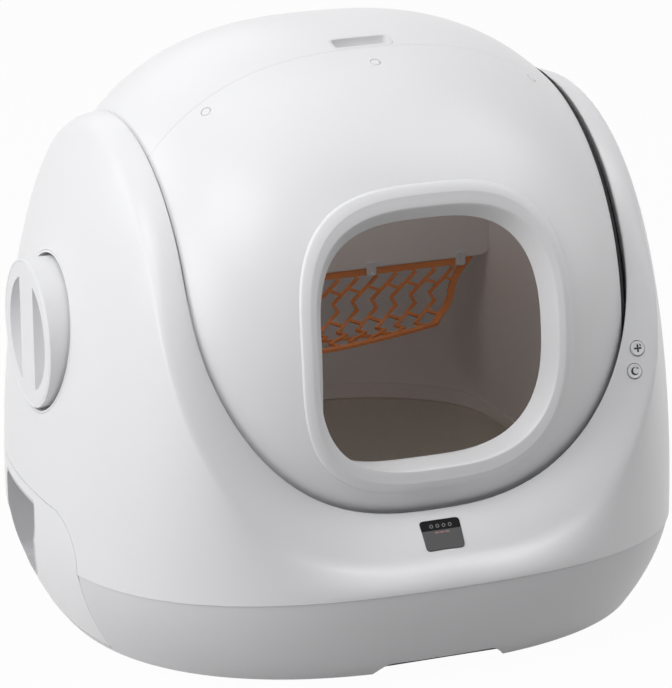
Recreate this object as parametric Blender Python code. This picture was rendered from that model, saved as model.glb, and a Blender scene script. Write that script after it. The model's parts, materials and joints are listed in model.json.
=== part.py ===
# Self cleaning litter box: a turning drum in a two armed cradle, with a side drawer.
# Metres, +Z up, front towards -Y. The origin is on the floor, in the middle of the object's box.
# Most shapes are made in the drum's own frame: zero at the drum's centre, X along its axis.

import bpy
import bmesh
import math
from mathutils import Matrix, Vector

MM = 0.001

# Drum
DRUM_RADIUS = 250.0 * MM
DRUM_ROUND_POWER = 2.24
DRUM_SIDE_POWER = 2.53
DRUM_HALF_LENGTH = 187.0 * MM
DRUM_END_ROUND = 65.4 * MM
DRUM_REACH = DRUM_HALF_LENGTH + DRUM_END_ROUND
DRUM_WALL = 3.0 * MM
SHELL_SEAM_Y = -76.0 * MM
SEAM_GAP = 0.4 * MM
DRUM_SEGMENTS = 56
DRUM_STEPS = 10

# Entrance
ENTRANCE_TILT = math.radians(6.0)
ENTRANCE_POWER = 3.0
THROAT_HALF_WIDTH = 97.0 * MM
THROAT_HALF_HEIGHT = 99.0 * MM
THROAT_DEPTH = 20.0 * MM
THROAT_WALL = 3.0 * MM
BEZEL_BAND_SIDE = 24.0 * MM
BEZEL_BAND_TOP = 30.0 * MM
BEZEL_HALF_WIDTH = THROAT_HALF_WIDTH + BEZEL_BAND_SIDE
BEZEL_HALF_HEIGHT = THROAT_HALF_HEIGHT + BEZEL_BAND_TOP
BEZEL_PROUD = 3.0 * MM
BEZEL_EDGE = 1.2 * MM
BEZEL_SEAT = 0.7 * MM
BEZEL_FLAT_SIDE = 14.0 * MM
BEZEL_FLAT_TOP = 15.0 * MM
COLLAR_INSET = 9.0 * MM
COLLAR_HALF_WIDTH = BEZEL_HALF_WIDTH - COLLAR_INSET
COLLAR_HALF_HEIGHT = BEZEL_HALF_HEIGHT - COLLAR_INSET
BEZEL_SEGMENTS = 44

# Handle cup and plugs on the drum's top
HANDLE_WIDTH = 54.0 * MM
HANDLE_LENGTH = 18.0 * MM
HANDLE_DEPTH = 13.0 * MM
HANDLE_WALL = 1.6 * MM
HANDLE_CORNER = 5.0 * MM
PLUG_RADIUS = 4.6 * MM
PLUG_THICKNESS = 1.8 * MM
PLUG_BEFORE_SEAM = 12.0 * MM
MIDDLE_PLUG_BEFORE_SEAM = 21.5 * MM
PLUG_END_GAP = 39.0 * MM
PLUG_SIDE_X = DRUM_HALF_LENGTH - PLUG_END_GAP

# Drum ends
CAP_THICKNESS = 2.5 * MM
STUB_RADIUS = 24.0 * MM
STUB_LENGTH = 34.0 * MM
SOCKET_RADIUS = 10.4 * MM
SOCKET_DEPTH = 18.0 * MM
END_HUB_RADIUS = 40.0 * MM
END_HUB_STEP = 3.0 * MM

# Drive
GEAR_MODULE = 3.5 * MM
RING_INSET = 15.5 * MM
PINION_TEETH = 12
GEAR_THICKNESS = 5.5 * MM
GEAR_BACKLASH_SHARE = 0.10
GEAR_TIP_CLEARANCE = 0.6 * MM
RING_RIM = 9.0 * MM
PINION_ANGLE = math.radians(-60.0)
MOTOR_SHAFT_RADIUS = 4.0 * MM
MOTOR_SHAFT_HOLE = 6.0 * MM
MOTOR_RADIUS = 21.0 * MM
MOTOR_LENGTH = 42.0 * MM
BRACKET_THICKNESS = 2.5 * MM
BRACKET_HALF = 27.0 * MM
BRACKET_CORNER = 5.0 * MM

# Inside the drum
DIVIDER_Y = 81.0 * MM
DIVIDER_THICKNESS = 4.0 * MM
DIVIDER_LOW = -4.0 * MM
DIVIDER_TOP = 110.0 * MM
DIVIDER_CORNER = 14.0 * MM
SIEVE_END_GAP = 19.0 * MM
SIEVE_HALF_WIDTH = DRUM_HALF_LENGTH - SIEVE_END_GAP
SIEVE_THICKNESS = 2.6 * MM
SIEVE_DROP = 37.0 * MM
SIEVE_BEND = 14.0 * MM
SIEVE_TRAY = 39.0 * MM
SIEVE_BAR = 3.4 * MM
SIEVE_COLUMNS = 14
SIEVE_ROWS = 4
SIEVE_ZIGZAG_SHARE = 0.26
CLIP_PLACES_SHARES = (-0.92, -0.40, 0.40, 0.92)
CLIP_WIDTH = 7.0 * MM
CLIP_HEIGHT = 13.0 * MM
CLIP_THICKNESS = 2.0 * MM
LINER_HEIGHT = 92.0 * MM
LINER_TOP_Z = LINER_HEIGHT - DRUM_RADIUS
LINER_WALL = 2.2 * MM
LINER_END_GAP = 11.0 * MM
LINER_HALF_LENGTH = DRUM_HALF_LENGTH - LINER_END_GAP

# Cradle
DRUM_GAP = 5.0 * MM
DRUM_END_GAP = 10.0 * MM
ARM_THICKNESS = 85.0 * MM
BODY_BEFORE_DRUM = 15.0 * MM
BODY_BEHIND_DRUM = 75.0 * MM
RIM_HALF_WIDTH = DRUM_HALF_LENGTH + DRUM_END_GAP
BODY_HALF_WIDTH = RIM_HALF_WIDTH + ARM_THICKNESS
BODY_FRONT = DRUM_RADIUS + BODY_BEFORE_DRUM
BODY_REAR = DRUM_RADIUS + BODY_BEHIND_DRUM
BODY_FRONT_POWER = 2.56
BODY_REAR_POWER = 2.36
BODY_WALL = 3.0 * MM
BASIN_WALL = 2.5 * MM
PLATE_THICKNESS = 3.2 * MM
PLATE_UNDER_BASIN = 1.3 * MM
SKIRT_BOTTOM_Z = -DRUM_RADIUS - DRUM_GAP - BASIN_WALL - PLATE_UNDER_BASIN - PLATE_THICKNESS
SKIRT_HEIGHT = 74.0 * MM
SKIRT_SIDE_INSET = 27.0 * MM
SKIRT_FRONT_INSET = 33.0 * MM
SKIRT_REAR_INSET = 35.0 * MM
SKIRT_HALF_WIDTH = BODY_HALF_WIDTH - SKIRT_SIDE_INSET
SKIRT_FRONT = BODY_FRONT - SKIRT_FRONT_INSET
SKIRT_REAR = BODY_REAR - SKIRT_REAR_INSET
SKIRT_POWER = 2.42
SKIRT_BULGE_SHARE = 0.06
SKIRT_STEP = 0.9 * MM
PARTING_Z = SKIRT_BOTTOM_Z + SKIRT_HEIGHT
PARTING_FRONT_RISE = 7.0 * MM
PARTING_GAP = 0.5 * MM
NOTCH_TOP_HALF = 46.0 * MM
NOTCH_FLARE = 16.0 * MM
NOTCH_FOOT_HALF = NOTCH_TOP_HALF + NOTCH_FLARE
NOTCH_HEIGHT = 10.0 * MM

# Cradle rim
RIM_POWER = 2.7
RIM_SIDE_ANGLE = math.radians(30.0)
RIM_FRONT_ANGLE = math.radians(-29.4)
RIM_REAR_ANGLE = math.radians(-8.0)
RIM_LIP = 7.0 * MM
ARM_LIP_POWER = 20
BAND_SIDE_WIDTH = 24.0 * MM
BAND_CORNER_WIDTH = 20.0 * MM
BAND_FRONT_REACH = 43.0 * MM
BAND_SIDE_REACH = -8.0 * MM
BAND_REACH_POWER = 1.3
BAND_FRONT_DROP = 16.0 * MM
BAND_CORNER_DROP = 34.0 * MM
BAND_CROWN = 1.6 * MM
SIDE_OUT_SHARE = 0.575
SIDE_DOWN_SHARE = 0.174
SIDE_IN_SHARE = -0.05
SIDE_UP_SHARE = 0.42
SIDE_STEPS = 6
FRONT_STATIONS = 10
ARM_STATIONS = 6

# Basin under the drum and the arms' inner panels
BASIN_END_GAP = 11.5 * MM
BASIN_HALF_LENGTH = RIM_HALF_WIDTH - BASIN_END_GAP
BASIN_EDGE_GAP = 0.9 * MM
EDGE_STEP = 0.5 * MM
BASIN_STEPS = 18
CHUTE_HALF_WIDTH = 105.0 * MM
CHUTE_START = math.radians(215.0)
CHUTE_END = math.radians(243.0)
ARM_PANEL_INSET = 4.0 * MM
ARM_PANEL_X = RIM_HALF_WIDTH + ARM_PANEL_INSET
ARM_PANEL_THICKNESS = 3.0 * MM
ARM_PANEL_UNDER_RIM = 4.8 * MM
ARM_PANEL_ABOVE_DRAWER = 5.0 * MM
ARM_PANEL_BELOW_MOTOR = 18.0 * MM
BUSH_WALL = 6.0 * MM
BUSH_LENGTH = 12.0 * MM
RUNNING_GAP = 0.35 * MM
FIT_GAP = 0.3 * MM

# Base
PLATE_INSET = 4.3 * MM
FOOT_RADIUS = 18.0 * MM
FOOT_HEIGHT = 3.7 * MM
FOOT_SIDE_INSET = 105.0 * MM
FOOT_FRONT_INSET = 97.0 * MM
FOOT_REAR_INSET = 105.0 * MM
FOOT_X = SKIRT_HALF_WIDTH - FOOT_SIDE_INSET
FOOT_FRONT_Y = FOOT_FRONT_INSET - SKIRT_FRONT
FOOT_REAR_Y = SKIRT_REAR - FOOT_REAR_INSET

# Lock knob
KNOB_RADIUS = 64.0 * MM
KNOB_HEIGHT = 27.0 * MM
KNOB_EDGE = 5.0 * MM
KNOB_WALL = 3.0 * MM
KNOB_BAR_HALF = 18.0 * MM
KNOB_BORDER = 15.0 * MM
KNOB_RECESS_RADIUS = KNOB_RADIUS - KNOB_BORDER
KNOB_RECESS_DEPTH = 11.0 * MM
KNOB_WELL_MARGIN = 5.0 * MM
KNOB_WELL_RADIUS = KNOB_RADIUS + KNOB_WELL_MARGIN
KNOB_WELL_DEPTH = 34.0 * MM
KNOB_WELL_FLOOR_X = KNOB_WELL_DEPTH - BODY_HALF_WIDTH
KNOB_HOLE_BEYOND = 13.0 * MM
KNOB_WELL_WALL = 2.0 * MM
SPINDLE_RADIUS = 10.0 * MM

# Drawer
DRAWER_FRONT_Y = -94.5 * MM
DRAWER_REAR_INSET = 63.0 * MM
DRAWER_REAR_Y = BODY_REAR - DRAWER_REAR_INSET
DRAWER_ABOVE_PARTING = 47.0 * MM
DRAWER_TOP_Z = PARTING_Z + DRAWER_ABOVE_PARTING
DRAWER_SILL_GAP = 0.4 * MM
DRAWER_BOTTOM_Z = SKIRT_BOTTOM_Z + PLATE_THICKNESS + DRAWER_SILL_GAP
DRAWER_FRONT_CORNER = 42.0 * MM
DRAWER_REAR_CORNER = 22.0 * MM
DRAWER_CORNER_STEPS = 6
DRAWER_GAP = 0.7 * MM
DRAWER_SKIN = 3.5 * MM
TUB_WALL = 2.4 * MM
TUB_ARC_GAP = 2.2 * MM
TUB_HOLE_GAP = 11.0 * MM
TUB_TOP_Z = DRAWER_TOP_Z - TUB_HOLE_GAP
TUB_LIP_TURN = math.radians(244.0)
TUB_LIFT = 2.8 * MM
TUB_BOTTOM_Z = SKIRT_BOTTOM_Z + PLATE_THICKNESS + TUB_LIFT
TUB_HOLE_REAR_GAP = 10.0 * MM
TUB_REAR_LEAN = 18.0 * MM
TUB_REAR_TOP_Y = DRAWER_REAR_Y - TUB_HOLE_REAR_GAP
TUB_REAR_LOW_Y = TUB_REAR_TOP_Y - TUB_REAR_LEAN
TUB_CORNER_GAP = 7.0 * MM
# The tub's right end stops where its rear corner would meet the body's round side
TUB_SIDE_SHARE = (1 - (TUB_REAR_TOP_Y / BODY_REAR) ** BODY_REAR_POWER) ** (1 / BODY_REAR_POWER)
TUB_RIGHT_X = BODY_HALF_WIDTH * TUB_SIDE_SHARE - TUB_CORNER_GAP
TUB_ARC_POINTS = 9
GRIP_FROM_EDGE = 90.5 * MM
GRIP_WIDTH = 110.0 * MM
GRIP_HEIGHT = 88.0 * MM
GRIP_FROM_TOP = 10.0 * MM
GRIP_DEPTH = 39.0 * MM
GRIP_FRONT_Y = DRAWER_FRONT_Y + GRIP_FROM_EDGE
GRIP_REAR_Y = GRIP_FRONT_Y + GRIP_WIDTH
GRIP_TOP_Z = DRAWER_TOP_Z - GRIP_FROM_TOP
GRIP_LOW_Z = GRIP_TOP_Z - GRIP_HEIGHT
GRIP_FLOOR_X = GRIP_DEPTH - BODY_HALF_WIDTH
GRIP_WALL = 2.5 * MM
GRIP_CORNER = 16.0 * MM
RING_BAR = 5.0 * MM
RING_HEIGHT = 3.0 * MM
RING_DROP = 2.0 * MM
RAIL_WIDTH = 14.0 * MM
RAIL_FRONT_Y = 62.0 * MM
RAIL_REAR_INSET = 28.0 * MM
RAIL_REAR_Y = TUB_REAR_LOW_Y - RAIL_REAR_INSET
RAIL_END_INSET = 7.0 * MM
RAIL_HALF_LENGTH = TUB_RIGHT_X - RAIL_END_INSET

# Controls on the rim
LENS_WIDTH = 33.0 * MM
LENS_HEIGHT = 26.5 * MM
LENS_THICKNESS = 2.4 * MM
LENS_CORNER = 4.0 * MM
LENS_BAND_SHARE = 0.52
BOARD_THICKNESS = 1.6 * MM
BOARD_MARGIN = 4.0 * MM
BOARD_POST_RADIUS = 1.8 * MM
BUTTON_RADIUS = 6.6 * MM
BUTTON_PROUD = 1.2 * MM
BUTTON_LENGTH = 6.0 * MM
BUTTON_FLANGE = 1.8 * MM
BUTTON_FLANGE_THICKNESS = 1.2 * MM
BUTTON_TRAVEL = 1.0 * MM
BUTTON_ANGLES = (math.radians(-1.75), math.radians(-6.0))
BUTTON_BAND_SHARES = (0.44, 0.48)

# Rear cover
COVER_HALF_WIDTH = 92.0 * MM
COVER_ABOVE_PARTING = 28.0 * MM
COVER_HEIGHT = 76.0 * MM
COVER_LOW_Z = PARTING_Z + COVER_ABOVE_PARTING
COVER_TOP_Z = COVER_LOW_Z + COVER_HEIGHT
COVER_CORNER = 10.0 * MM
COVER_GAP = 0.5 * MM
COVER_POST_RADIUS = 3.5 * MM
CONTROL_BOARD_INSET = 41.0 * MM
CONTROL_BOARD_Y = BODY_REAR - CONTROL_BOARD_INSET
CONTROL_SIDE_INSET = 24.0 * MM
CONTROL_HALF_WIDTH = COVER_HALF_WIDTH - CONTROL_SIDE_INSET
CONTROL_LOW_INSET = 18.0 * MM
CONTROL_TOP_INSET = 14.0 * MM
CONTROL_LOW_Z = COVER_LOW_Z + CONTROL_LOW_INSET
CONTROL_TOP_Z = COVER_TOP_Z - CONTROL_TOP_INSET
JACK_SIDE_INSET = 32.0 * MM
JACK_X = COVER_HALF_WIDTH - JACK_SIDE_INSET
JACK_RADIUS = 5.4 * MM
JACK_BORE = 3.0 * MM
JACK_LENGTH = 16.0 * MM
JACK_Z = (COVER_LOW_Z + COVER_TOP_Z) / 2

# Cutters reach this far past what they cut
OVERRUN = 30.0 * MM

FLOOR_Z = SKIRT_BOTTOM_Z - FOOT_HEIGHT - FIT_GAP
AXIS_POINT = Vector((0.0, (BODY_FRONT - BODY_REAR) / 2, -FLOOR_Z))

WHITE = (0.80, 0.80, 0.82)
SHADE = (0.62, 0.62, 0.64)
DARK_GREY = (0.22, 0.21, 0.205)
BLACK = (0.02, 0.02, 0.022)
ORANGE = (0.62, 0.20, 0.05)
GREEN = (0.05, 0.22, 0.10)
STEEL = (0.55, 0.55, 0.57)


def clear_scene():
    for old in list(bpy.data.objects):
        bpy.data.objects.remove(old, do_unlink=True)


def paint(obj, colour, roughness=0.45, metallic=0.0):
    mat = bpy.data.materials.new(obj.name)
    mat.use_nodes = True
    shader = mat.node_tree.nodes["Principled BSDF"]
    shader.inputs["Base Color"].default_value = (*colour, 1.0)
    shader.inputs["Roughness"].default_value = roughness
    shader.inputs["Metallic"].default_value = metallic
    mat.diffuse_color = (*colour, 1.0)
    obj.data.materials.clear()
    obj.data.materials.append(mat)
    return obj


def new_object(name, verts, faces, smooth=True):
    """A mesh object in the drum's frame."""
    mesh = bpy.data.meshes.new(name)
    mesh.from_pydata([tuple(v) for v in verts], [], faces)
    work = bmesh.new()
    work.from_mesh(mesh)
    bmesh.ops.recalc_face_normals(work, faces=work.faces)
    work.to_mesh(mesh)
    work.free()
    if smooth:
        mesh.shade_smooth()
        mesh.set_sharp_from_angle(angle=math.radians(35.0))
    obj = bpy.data.objects.new(name, mesh)
    bpy.context.collection.objects.link(obj)
    obj.parent = FRAME
    return obj


def strip_faces(rings, closed_rows, closed_ring=True):
    """Quads between rings that hold the same number of points."""
    count = len(rings[0])
    rows = len(rings)
    faces = []
    for i in range(rows if closed_rows else rows - 1):
        for j in range(count if closed_ring else count - 1):
            a, b = i * count + j, i * count + (j + 1) % count
            c, d = (i + 1) % rows * count + (j + 1) % count, (i + 1) % rows * count + j
            faces.append((a, b, c, d))
    return faces


def loft(name, rings, cap=True):
    """A solid through closed rings, with flat ends, or a ring shaped solid with no ends."""
    verts = [p for ring in rings for p in ring]
    faces = strip_faces(rings, closed_rows=not cap)
    if cap:
        count = len(rings[0])
        faces.append(tuple(range(count)))
        faces.append(tuple(range(len(verts) - count, len(verts))))
    return new_object(name, verts, faces)


def turned(name, profile, segments, centre=(0.0, 0.0), hollow=False):
    """A solid turned about an axis along X, from points (x, radius)."""
    rings = []
    for x, radius in profile:
        if radius == 0.0:
            rings.append([(x, centre[0], centre[1])])
            continue
        rings.append([(x, centre[0] + radius * math.cos(2 * math.pi * k / segments),
                       centre[1] + radius * math.sin(2 * math.pi * k / segments)) for k in range(segments)])
    if hollow:
        return loft(name, rings, cap=False)
    verts = [p for ring in rings for p in ring]
    faces = []
    start = 0
    for first, second in zip(rings, rings[1:]):
        after = start + len(first)
        for k in range(segments):
            n = (k + 1) % segments
            a = start + (k if len(first) > 1 else 0)
            b = start + (n if len(first) > 1 else 0)
            c = after + (n if len(second) > 1 else 0)
            d = after + (k if len(second) > 1 else 0)
            faces.append(tuple(dict.fromkeys((a, b, c, d))))
        start = after
    return new_object(name, verts, faces)


def prism(name, outline, plane, low, high):
    """An outline of two coordinates, pushed along the third axis, from low to high."""
    place = {"YZ": lambda p, t: (t, p[0], p[1]), "XZ": lambda p, t: (p[0], t, p[1]),
             "XY": lambda p, t: (p[0], p[1], t)}[plane]
    return loft(name, [[place(p, t) for p in outline] for t in (low, high)])


def rounded_box_outline(low, high, corner, steps=5):
    """A rectangle with round corners, as points (a, b)."""
    points = []
    centres = ((high[0] - corner, high[1] - corner, 0), (low[0] + corner, high[1] - corner, 1),
               (low[0] + corner, low[1] + corner, 2), (high[0] - corner, low[1] + corner, 3))
    for a, b, quarter in centres:
        for k in range(steps + 1):
            turn = (quarter + k / steps) * math.pi / 2
            points.append((a + corner * math.cos(turn), b + corner * math.sin(turn)))
    return points


def block(name, low, high):
    outline = [(low[0], low[1]), (high[0], low[1]), (high[0], high[1]), (low[0], high[1])]
    return prism(name, outline, "XY", low[2], high[2])


def cylinder(name, radius, low, high, place, direction, segments=32):
    """A cylinder along a direction, from low to high, measured from a place."""
    obj = turned(name, [(low, 0.0), (low, radius), (high, radius), (high, 0.0)], segments)
    turn = Vector((1.0, 0.0, 0.0)).rotation_difference(Vector(direction)).to_matrix().to_4x4()
    obj.data.transform(Matrix.Translation(Vector(place)) @ turn)
    return obj


def as_tool(obj):
    obj.hide_render = True
    obj.display_type = "WIRE"
    return obj


def combine(obj, tool, operation):
    modifier = obj.modifiers.new(tool.name, "BOOLEAN")
    modifier.operation = operation
    modifier.solver = "EXACT"
    modifier.object = as_tool(tool)
    return obj


def cut(obj, tool):
    return combine(obj, tool, "DIFFERENCE")


def keep(obj, tool):
    return combine(obj, tool, "INTERSECT")


def add(obj, tool):
    return combine(obj, tool, "UNION")


def power_ratio(value, power):
    return math.copysign(abs(value) ** (2 / power), value)


def drum_radius(x, grow=0.0):
    """The drum's radius about its axis, at a distance x from its middle."""
    side = min(abs(x) / DRUM_REACH, 1.0) ** DRUM_SIDE_POWER
    return DRUM_RADIUS * (1 - side) ** (1 / DRUM_ROUND_POWER) + grow


def on_drum(x, angle, grow=0.0):
    """A point above the drum's surface. Angles run from the front, over the top, to the rear."""
    radius = drum_radius(x, grow)
    return Vector((x, -radius * math.cos(angle), radius * math.sin(angle)))


def drum_slope(x, step=0.5 * MM):
    """How fast the drum's radius changes along its axis."""
    return (drum_radius(x + step) - drum_radius(x - step)) / (2 * step)


def drum_normal(point):
    out = Vector((0.0, point.y, point.z)).normalized()
    return (out - Vector((drum_slope(point.x), 0.0, 0.0))).normalized()


def spread(low, high, steps):
    return [low + (high - low) * k / steps for k in range(steps + 1)]


def shell_tube(name, outer_grow, wall, half_length, segments=DRUM_SEGMENTS):
    """An open ended barrel with the drum's round sides."""
    places = spread(-half_length, half_length, DRUM_STEPS)
    profile = [(x, drum_radius(x, outer_grow)) for x in places]
    profile += [(x, drum_radius(x, outer_grow - wall)) for x in reversed(places)]
    return turned(name, profile, segments, hollow=True)


# The entrance lies in a plane that leans back a little: u runs to the right, v up, w out.
ENTRANCE_UP = Vector((0.0, math.sin(ENTRANCE_TILT), math.cos(ENTRANCE_TILT)))
ENTRANCE_OUT = Vector((0.0, -math.cos(ENTRANCE_TILT), math.sin(ENTRANCE_TILT)))


def entrance_ring(half_width, half_height, grow, segments=BEZEL_SEGMENTS):
    """A rounded square ring that lies at a height above the drum's surface."""
    ring = []
    for k in range(segments):
        turn = 2 * math.pi * k / segments
        u = half_width * power_ratio(math.cos(turn), ENTRANCE_POWER)
        v = half_height * power_ratio(math.sin(turn), ENTRANCE_POWER)
        w = math.sqrt(drum_radius(u, grow) ** 2 - v * v)
        ring.append(Vector((u, 0.0, 0.0)) + ENTRANCE_UP * v + ENTRANCE_OUT * w)
    return ring


def entrance_cutter(name, half_width, half_height):
    rings = []
    for w in (DRUM_RADIUS / 2, DRUM_RADIUS + OVERRUN):
        ring = []
        for k in range(BEZEL_SEGMENTS):
            turn = 2 * math.pi * k / BEZEL_SEGMENTS
            u = half_width * power_ratio(math.cos(turn), ENTRANCE_POWER)
            v = half_height * power_ratio(math.sin(turn), ENTRANCE_POWER)
            ring.append(Vector((u, 0.0, 0.0)) + ENTRANCE_UP * v + ENTRANCE_OUT * w)
        rings.append(ring)
    return loft(name, rings)


def make_bezel():
    """The collar: its face, its funnel, and the wall behind that stands in the drum's hole."""
    face_width = BEZEL_HALF_WIDTH - BEZEL_FLAT_SIDE
    face_height = BEZEL_HALF_HEIGHT - BEZEL_FLAT_TOP
    rings = [
        entrance_ring(BEZEL_HALF_WIDTH, BEZEL_HALF_HEIGHT, BEZEL_SEAT),
        entrance_ring(BEZEL_HALF_WIDTH, BEZEL_HALF_HEIGHT, BEZEL_PROUD - BEZEL_EDGE),
        entrance_ring(BEZEL_HALF_WIDTH - BEZEL_EDGE, BEZEL_HALF_HEIGHT - BEZEL_EDGE, BEZEL_PROUD),
        entrance_ring(face_width, face_height, BEZEL_PROUD),
        entrance_ring(face_width - BEZEL_EDGE, face_height - BEZEL_EDGE, BEZEL_PROUD - BEZEL_EDGE),
        entrance_ring(THROAT_HALF_WIDTH, THROAT_HALF_HEIGHT, -THROAT_DEPTH),
        entrance_ring(THROAT_HALF_WIDTH + THROAT_WALL, THROAT_HALF_HEIGHT + THROAT_WALL, -THROAT_DEPTH),
        entrance_ring(COLLAR_HALF_WIDTH, COLLAR_HALF_HEIGHT, -DRUM_WALL - BEZEL_SEAT),
        entrance_ring(COLLAR_HALF_WIDTH, COLLAR_HALF_HEIGHT, BEZEL_SEAT),
    ]
    return paint(loft("entrance_bezel", rings, cap=False), WHITE, 0.4)


def half_space(name, front):
    """A block that holds everything in front of, or behind, the seam of the drum's shells."""
    reach = DRUM_RADIUS + OVERRUN
    low_y = -reach if front else SHELL_SEAM_Y + SEAM_GAP / 2
    high_y = SHELL_SEAM_Y - SEAM_GAP / 2 if front else reach
    return block(name, (-reach, low_y, -reach), (reach, high_y, reach))


def plug_place(x):
    """Where a plug sits on the drum, in front of the seam, and the surface's direction there."""
    y = SHELL_SEAM_Y - (PLUG_BEFORE_SEAM if x else MIDDLE_PLUG_BEFORE_SEAM)
    radius = drum_radius(x)
    point = Vector((x, y, math.sqrt(radius * radius - y * y)))
    return point, drum_normal(point)


def handle_outline(grow):
    half = HANDLE_WIDTH / 2 + grow
    front = SHELL_SEAM_Y + SEAM_GAP + HANDLE_WALL - grow
    return rounded_box_outline((-half, front), (half, front + HANDLE_LENGTH + 2 * grow), HANDLE_CORNER + grow)


def make_drum_shells():
    front = keep(shell_tube("drum_front_shell", 0.0, DRUM_WALL, DRUM_HALF_LENGTH), half_space("front_half", True))
    hole_width = COLLAR_HALF_WIDTH + FIT_GAP + BEZEL_SEAT
    hole_height = COLLAR_HALF_HEIGHT + FIT_GAP + BEZEL_SEAT
    cut(front, entrance_cutter("entrance_hole", hole_width, hole_height))
    for name, x in (("left", -PLUG_SIDE_X), ("middle", 0.0), ("right", PLUG_SIDE_X)):
        point, out = plug_place(x)
        seat = cylinder("plug_seat_" + name, PLUG_RADIUS + FIT_GAP, -PLUG_THICKNESS - FIT_GAP, OVERRUN, point, out, 20)
        cut(front, seat)
        plug = cylinder("seam_plug_" + name, PLUG_RADIUS, -PLUG_THICKNESS, FIT_GAP, point, out, 20)
        paint(plug, WHITE, 0.5)
    paint(front, WHITE, 0.35)
    rear = keep(shell_tube("drum_rear_shell", 0.0, DRUM_WALL, DRUM_HALF_LENGTH), half_space("rear_half", False))
    cut(rear, prism("handle_hole", handle_outline(FIT_GAP), "XY", 0.0, DRUM_RADIUS + OVERRUN))
    paint(rear, WHITE, 0.35)


def make_handle_cup():
    top = DRUM_RADIUS + OVERRUN
    floor_z = math.sqrt(DRUM_RADIUS ** 2 - SHELL_SEAM_Y ** 2) - HANDLE_DEPTH
    cup = prism("handle_cup", handle_outline(0.0), "XY", floor_z - HANDLE_WALL, top)
    skin = turned("handle_skin", [(x, drum_radius(x)) if abs(x) < DRUM_HALF_LENGTH else (x, 0.0)
                                  for x in spread(-DRUM_HALF_LENGTH, DRUM_HALF_LENGTH, DRUM_STEPS)], DRUM_SEGMENTS)
    keep(cup, skin)
    cut(cup, prism("handle_pocket", handle_outline(-HANDLE_WALL), "XY", floor_z, top + OVERRUN))
    return paint(cup, SHADE, 0.5)


CAP_X = DRUM_HALF_LENGTH + FIT_GAP
CAP_OUTER_X = CAP_X + CAP_THICKNESS


def make_end_caps():
    rim = drum_radius(DRUM_HALF_LENGTH)
    stub_end = CAP_OUTER_X + STUB_LENGTH
    for name, side in (("left", -1), ("right", 1)):
        profile = [(CAP_X, 0.0), (CAP_X, rim), (CAP_OUTER_X, rim), (CAP_OUTER_X, END_HUB_RADIUS),
                   (CAP_OUTER_X + END_HUB_STEP, END_HUB_RADIUS - END_HUB_STEP),
                   (CAP_OUTER_X + END_HUB_STEP, STUB_RADIUS), (stub_end, STUB_RADIUS),
                   (stub_end, SOCKET_RADIUS), (stub_end - SOCKET_DEPTH, SOCKET_RADIUS),
                   (stub_end - SOCKET_DEPTH, 0.0)]
        cap = turned("drum_end_cap_" + name, [(side * x, r) for x, r in profile], DRUM_SEGMENTS)
        paint(cap, WHITE, 0.4)


# As many teeth as the drum's end has room for: an even number
RING_TEETH = 2 * int((drum_radius(DRUM_HALF_LENGTH) - RING_INSET) / GEAR_MODULE)
RING_PITCH = GEAR_MODULE * RING_TEETH / 2
PINION_PITCH = GEAR_MODULE * PINION_TEETH / 2
GEAR_X = CAP_OUTER_X + FIT_GAP
PINION_PLACE = Vector((0.0, math.cos(PINION_ANGLE), math.sin(PINION_ANGLE))) * (RING_PITCH + PINION_PITCH)


def tooth_outline(teeth, first_angle):
    """Gear teeth with straight flanks. first_angle is where one tooth points."""
    pitch = GEAR_MODULE * teeth / 2
    tip = pitch + GEAR_MODULE - GEAR_TIP_CLEARANCE
    root = pitch - GEAR_MODULE - GEAR_TIP_CLEARANCE
    step = 2 * math.pi / teeth
    half_tip_share = 0.13
    half_root_share = 0.33
    points = []
    for k in range(teeth):
        middle = first_angle + k * step
        for share, radius in ((-half_root_share, root), (-half_tip_share, tip),
                              (half_tip_share, tip), (half_root_share, root)):
            turn = middle + share * (1 - GEAR_BACKLASH_SHARE) * step
            points.append((radius * math.cos(turn), radius * math.sin(turn)))
    return points


def make_gears():
    ring_first = PINION_ANGLE
    ring = prism("drum_ring_gear", tooth_outline(RING_TEETH, ring_first), "YZ", GEAR_X, GEAR_X + GEAR_THICKNESS)
    bore = RING_PITCH - GEAR_MODULE - RING_RIM
    cut(ring, turned("ring_gear_bore", [(0.0, 0.0), (0.0, bore), (GEAR_X * 2, bore), (GEAR_X * 2, 0.0)], 48))
    paint(ring, BLACK, 0.5)
    # A gap between two pinion teeth faces the ring's tooth
    pinion_first = PINION_ANGLE + math.pi + math.pi / PINION_TEETH
    pinion = prism("drive_pinion", tooth_outline(PINION_TEETH, pinion_first), "YZ", GEAR_X, GEAR_X + GEAR_THICKNESS)
    shaft_end = ARM_PANEL_X + ARM_PANEL_THICKNESS + BRACKET_THICKNESS
    shaft = turned("pinion_shaft", [(GEAR_X, 0.0), (GEAR_X, MOTOR_SHAFT_RADIUS), (shaft_end, MOTOR_SHAFT_RADIUS),
                                    (shaft_end, 0.0)], 20)
    add(pinion, shaft)
    for piece in (pinion, shaft):
        piece.location = PINION_PLACE
    return paint(pinion, STEEL, 0.35, 0.8)


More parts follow.
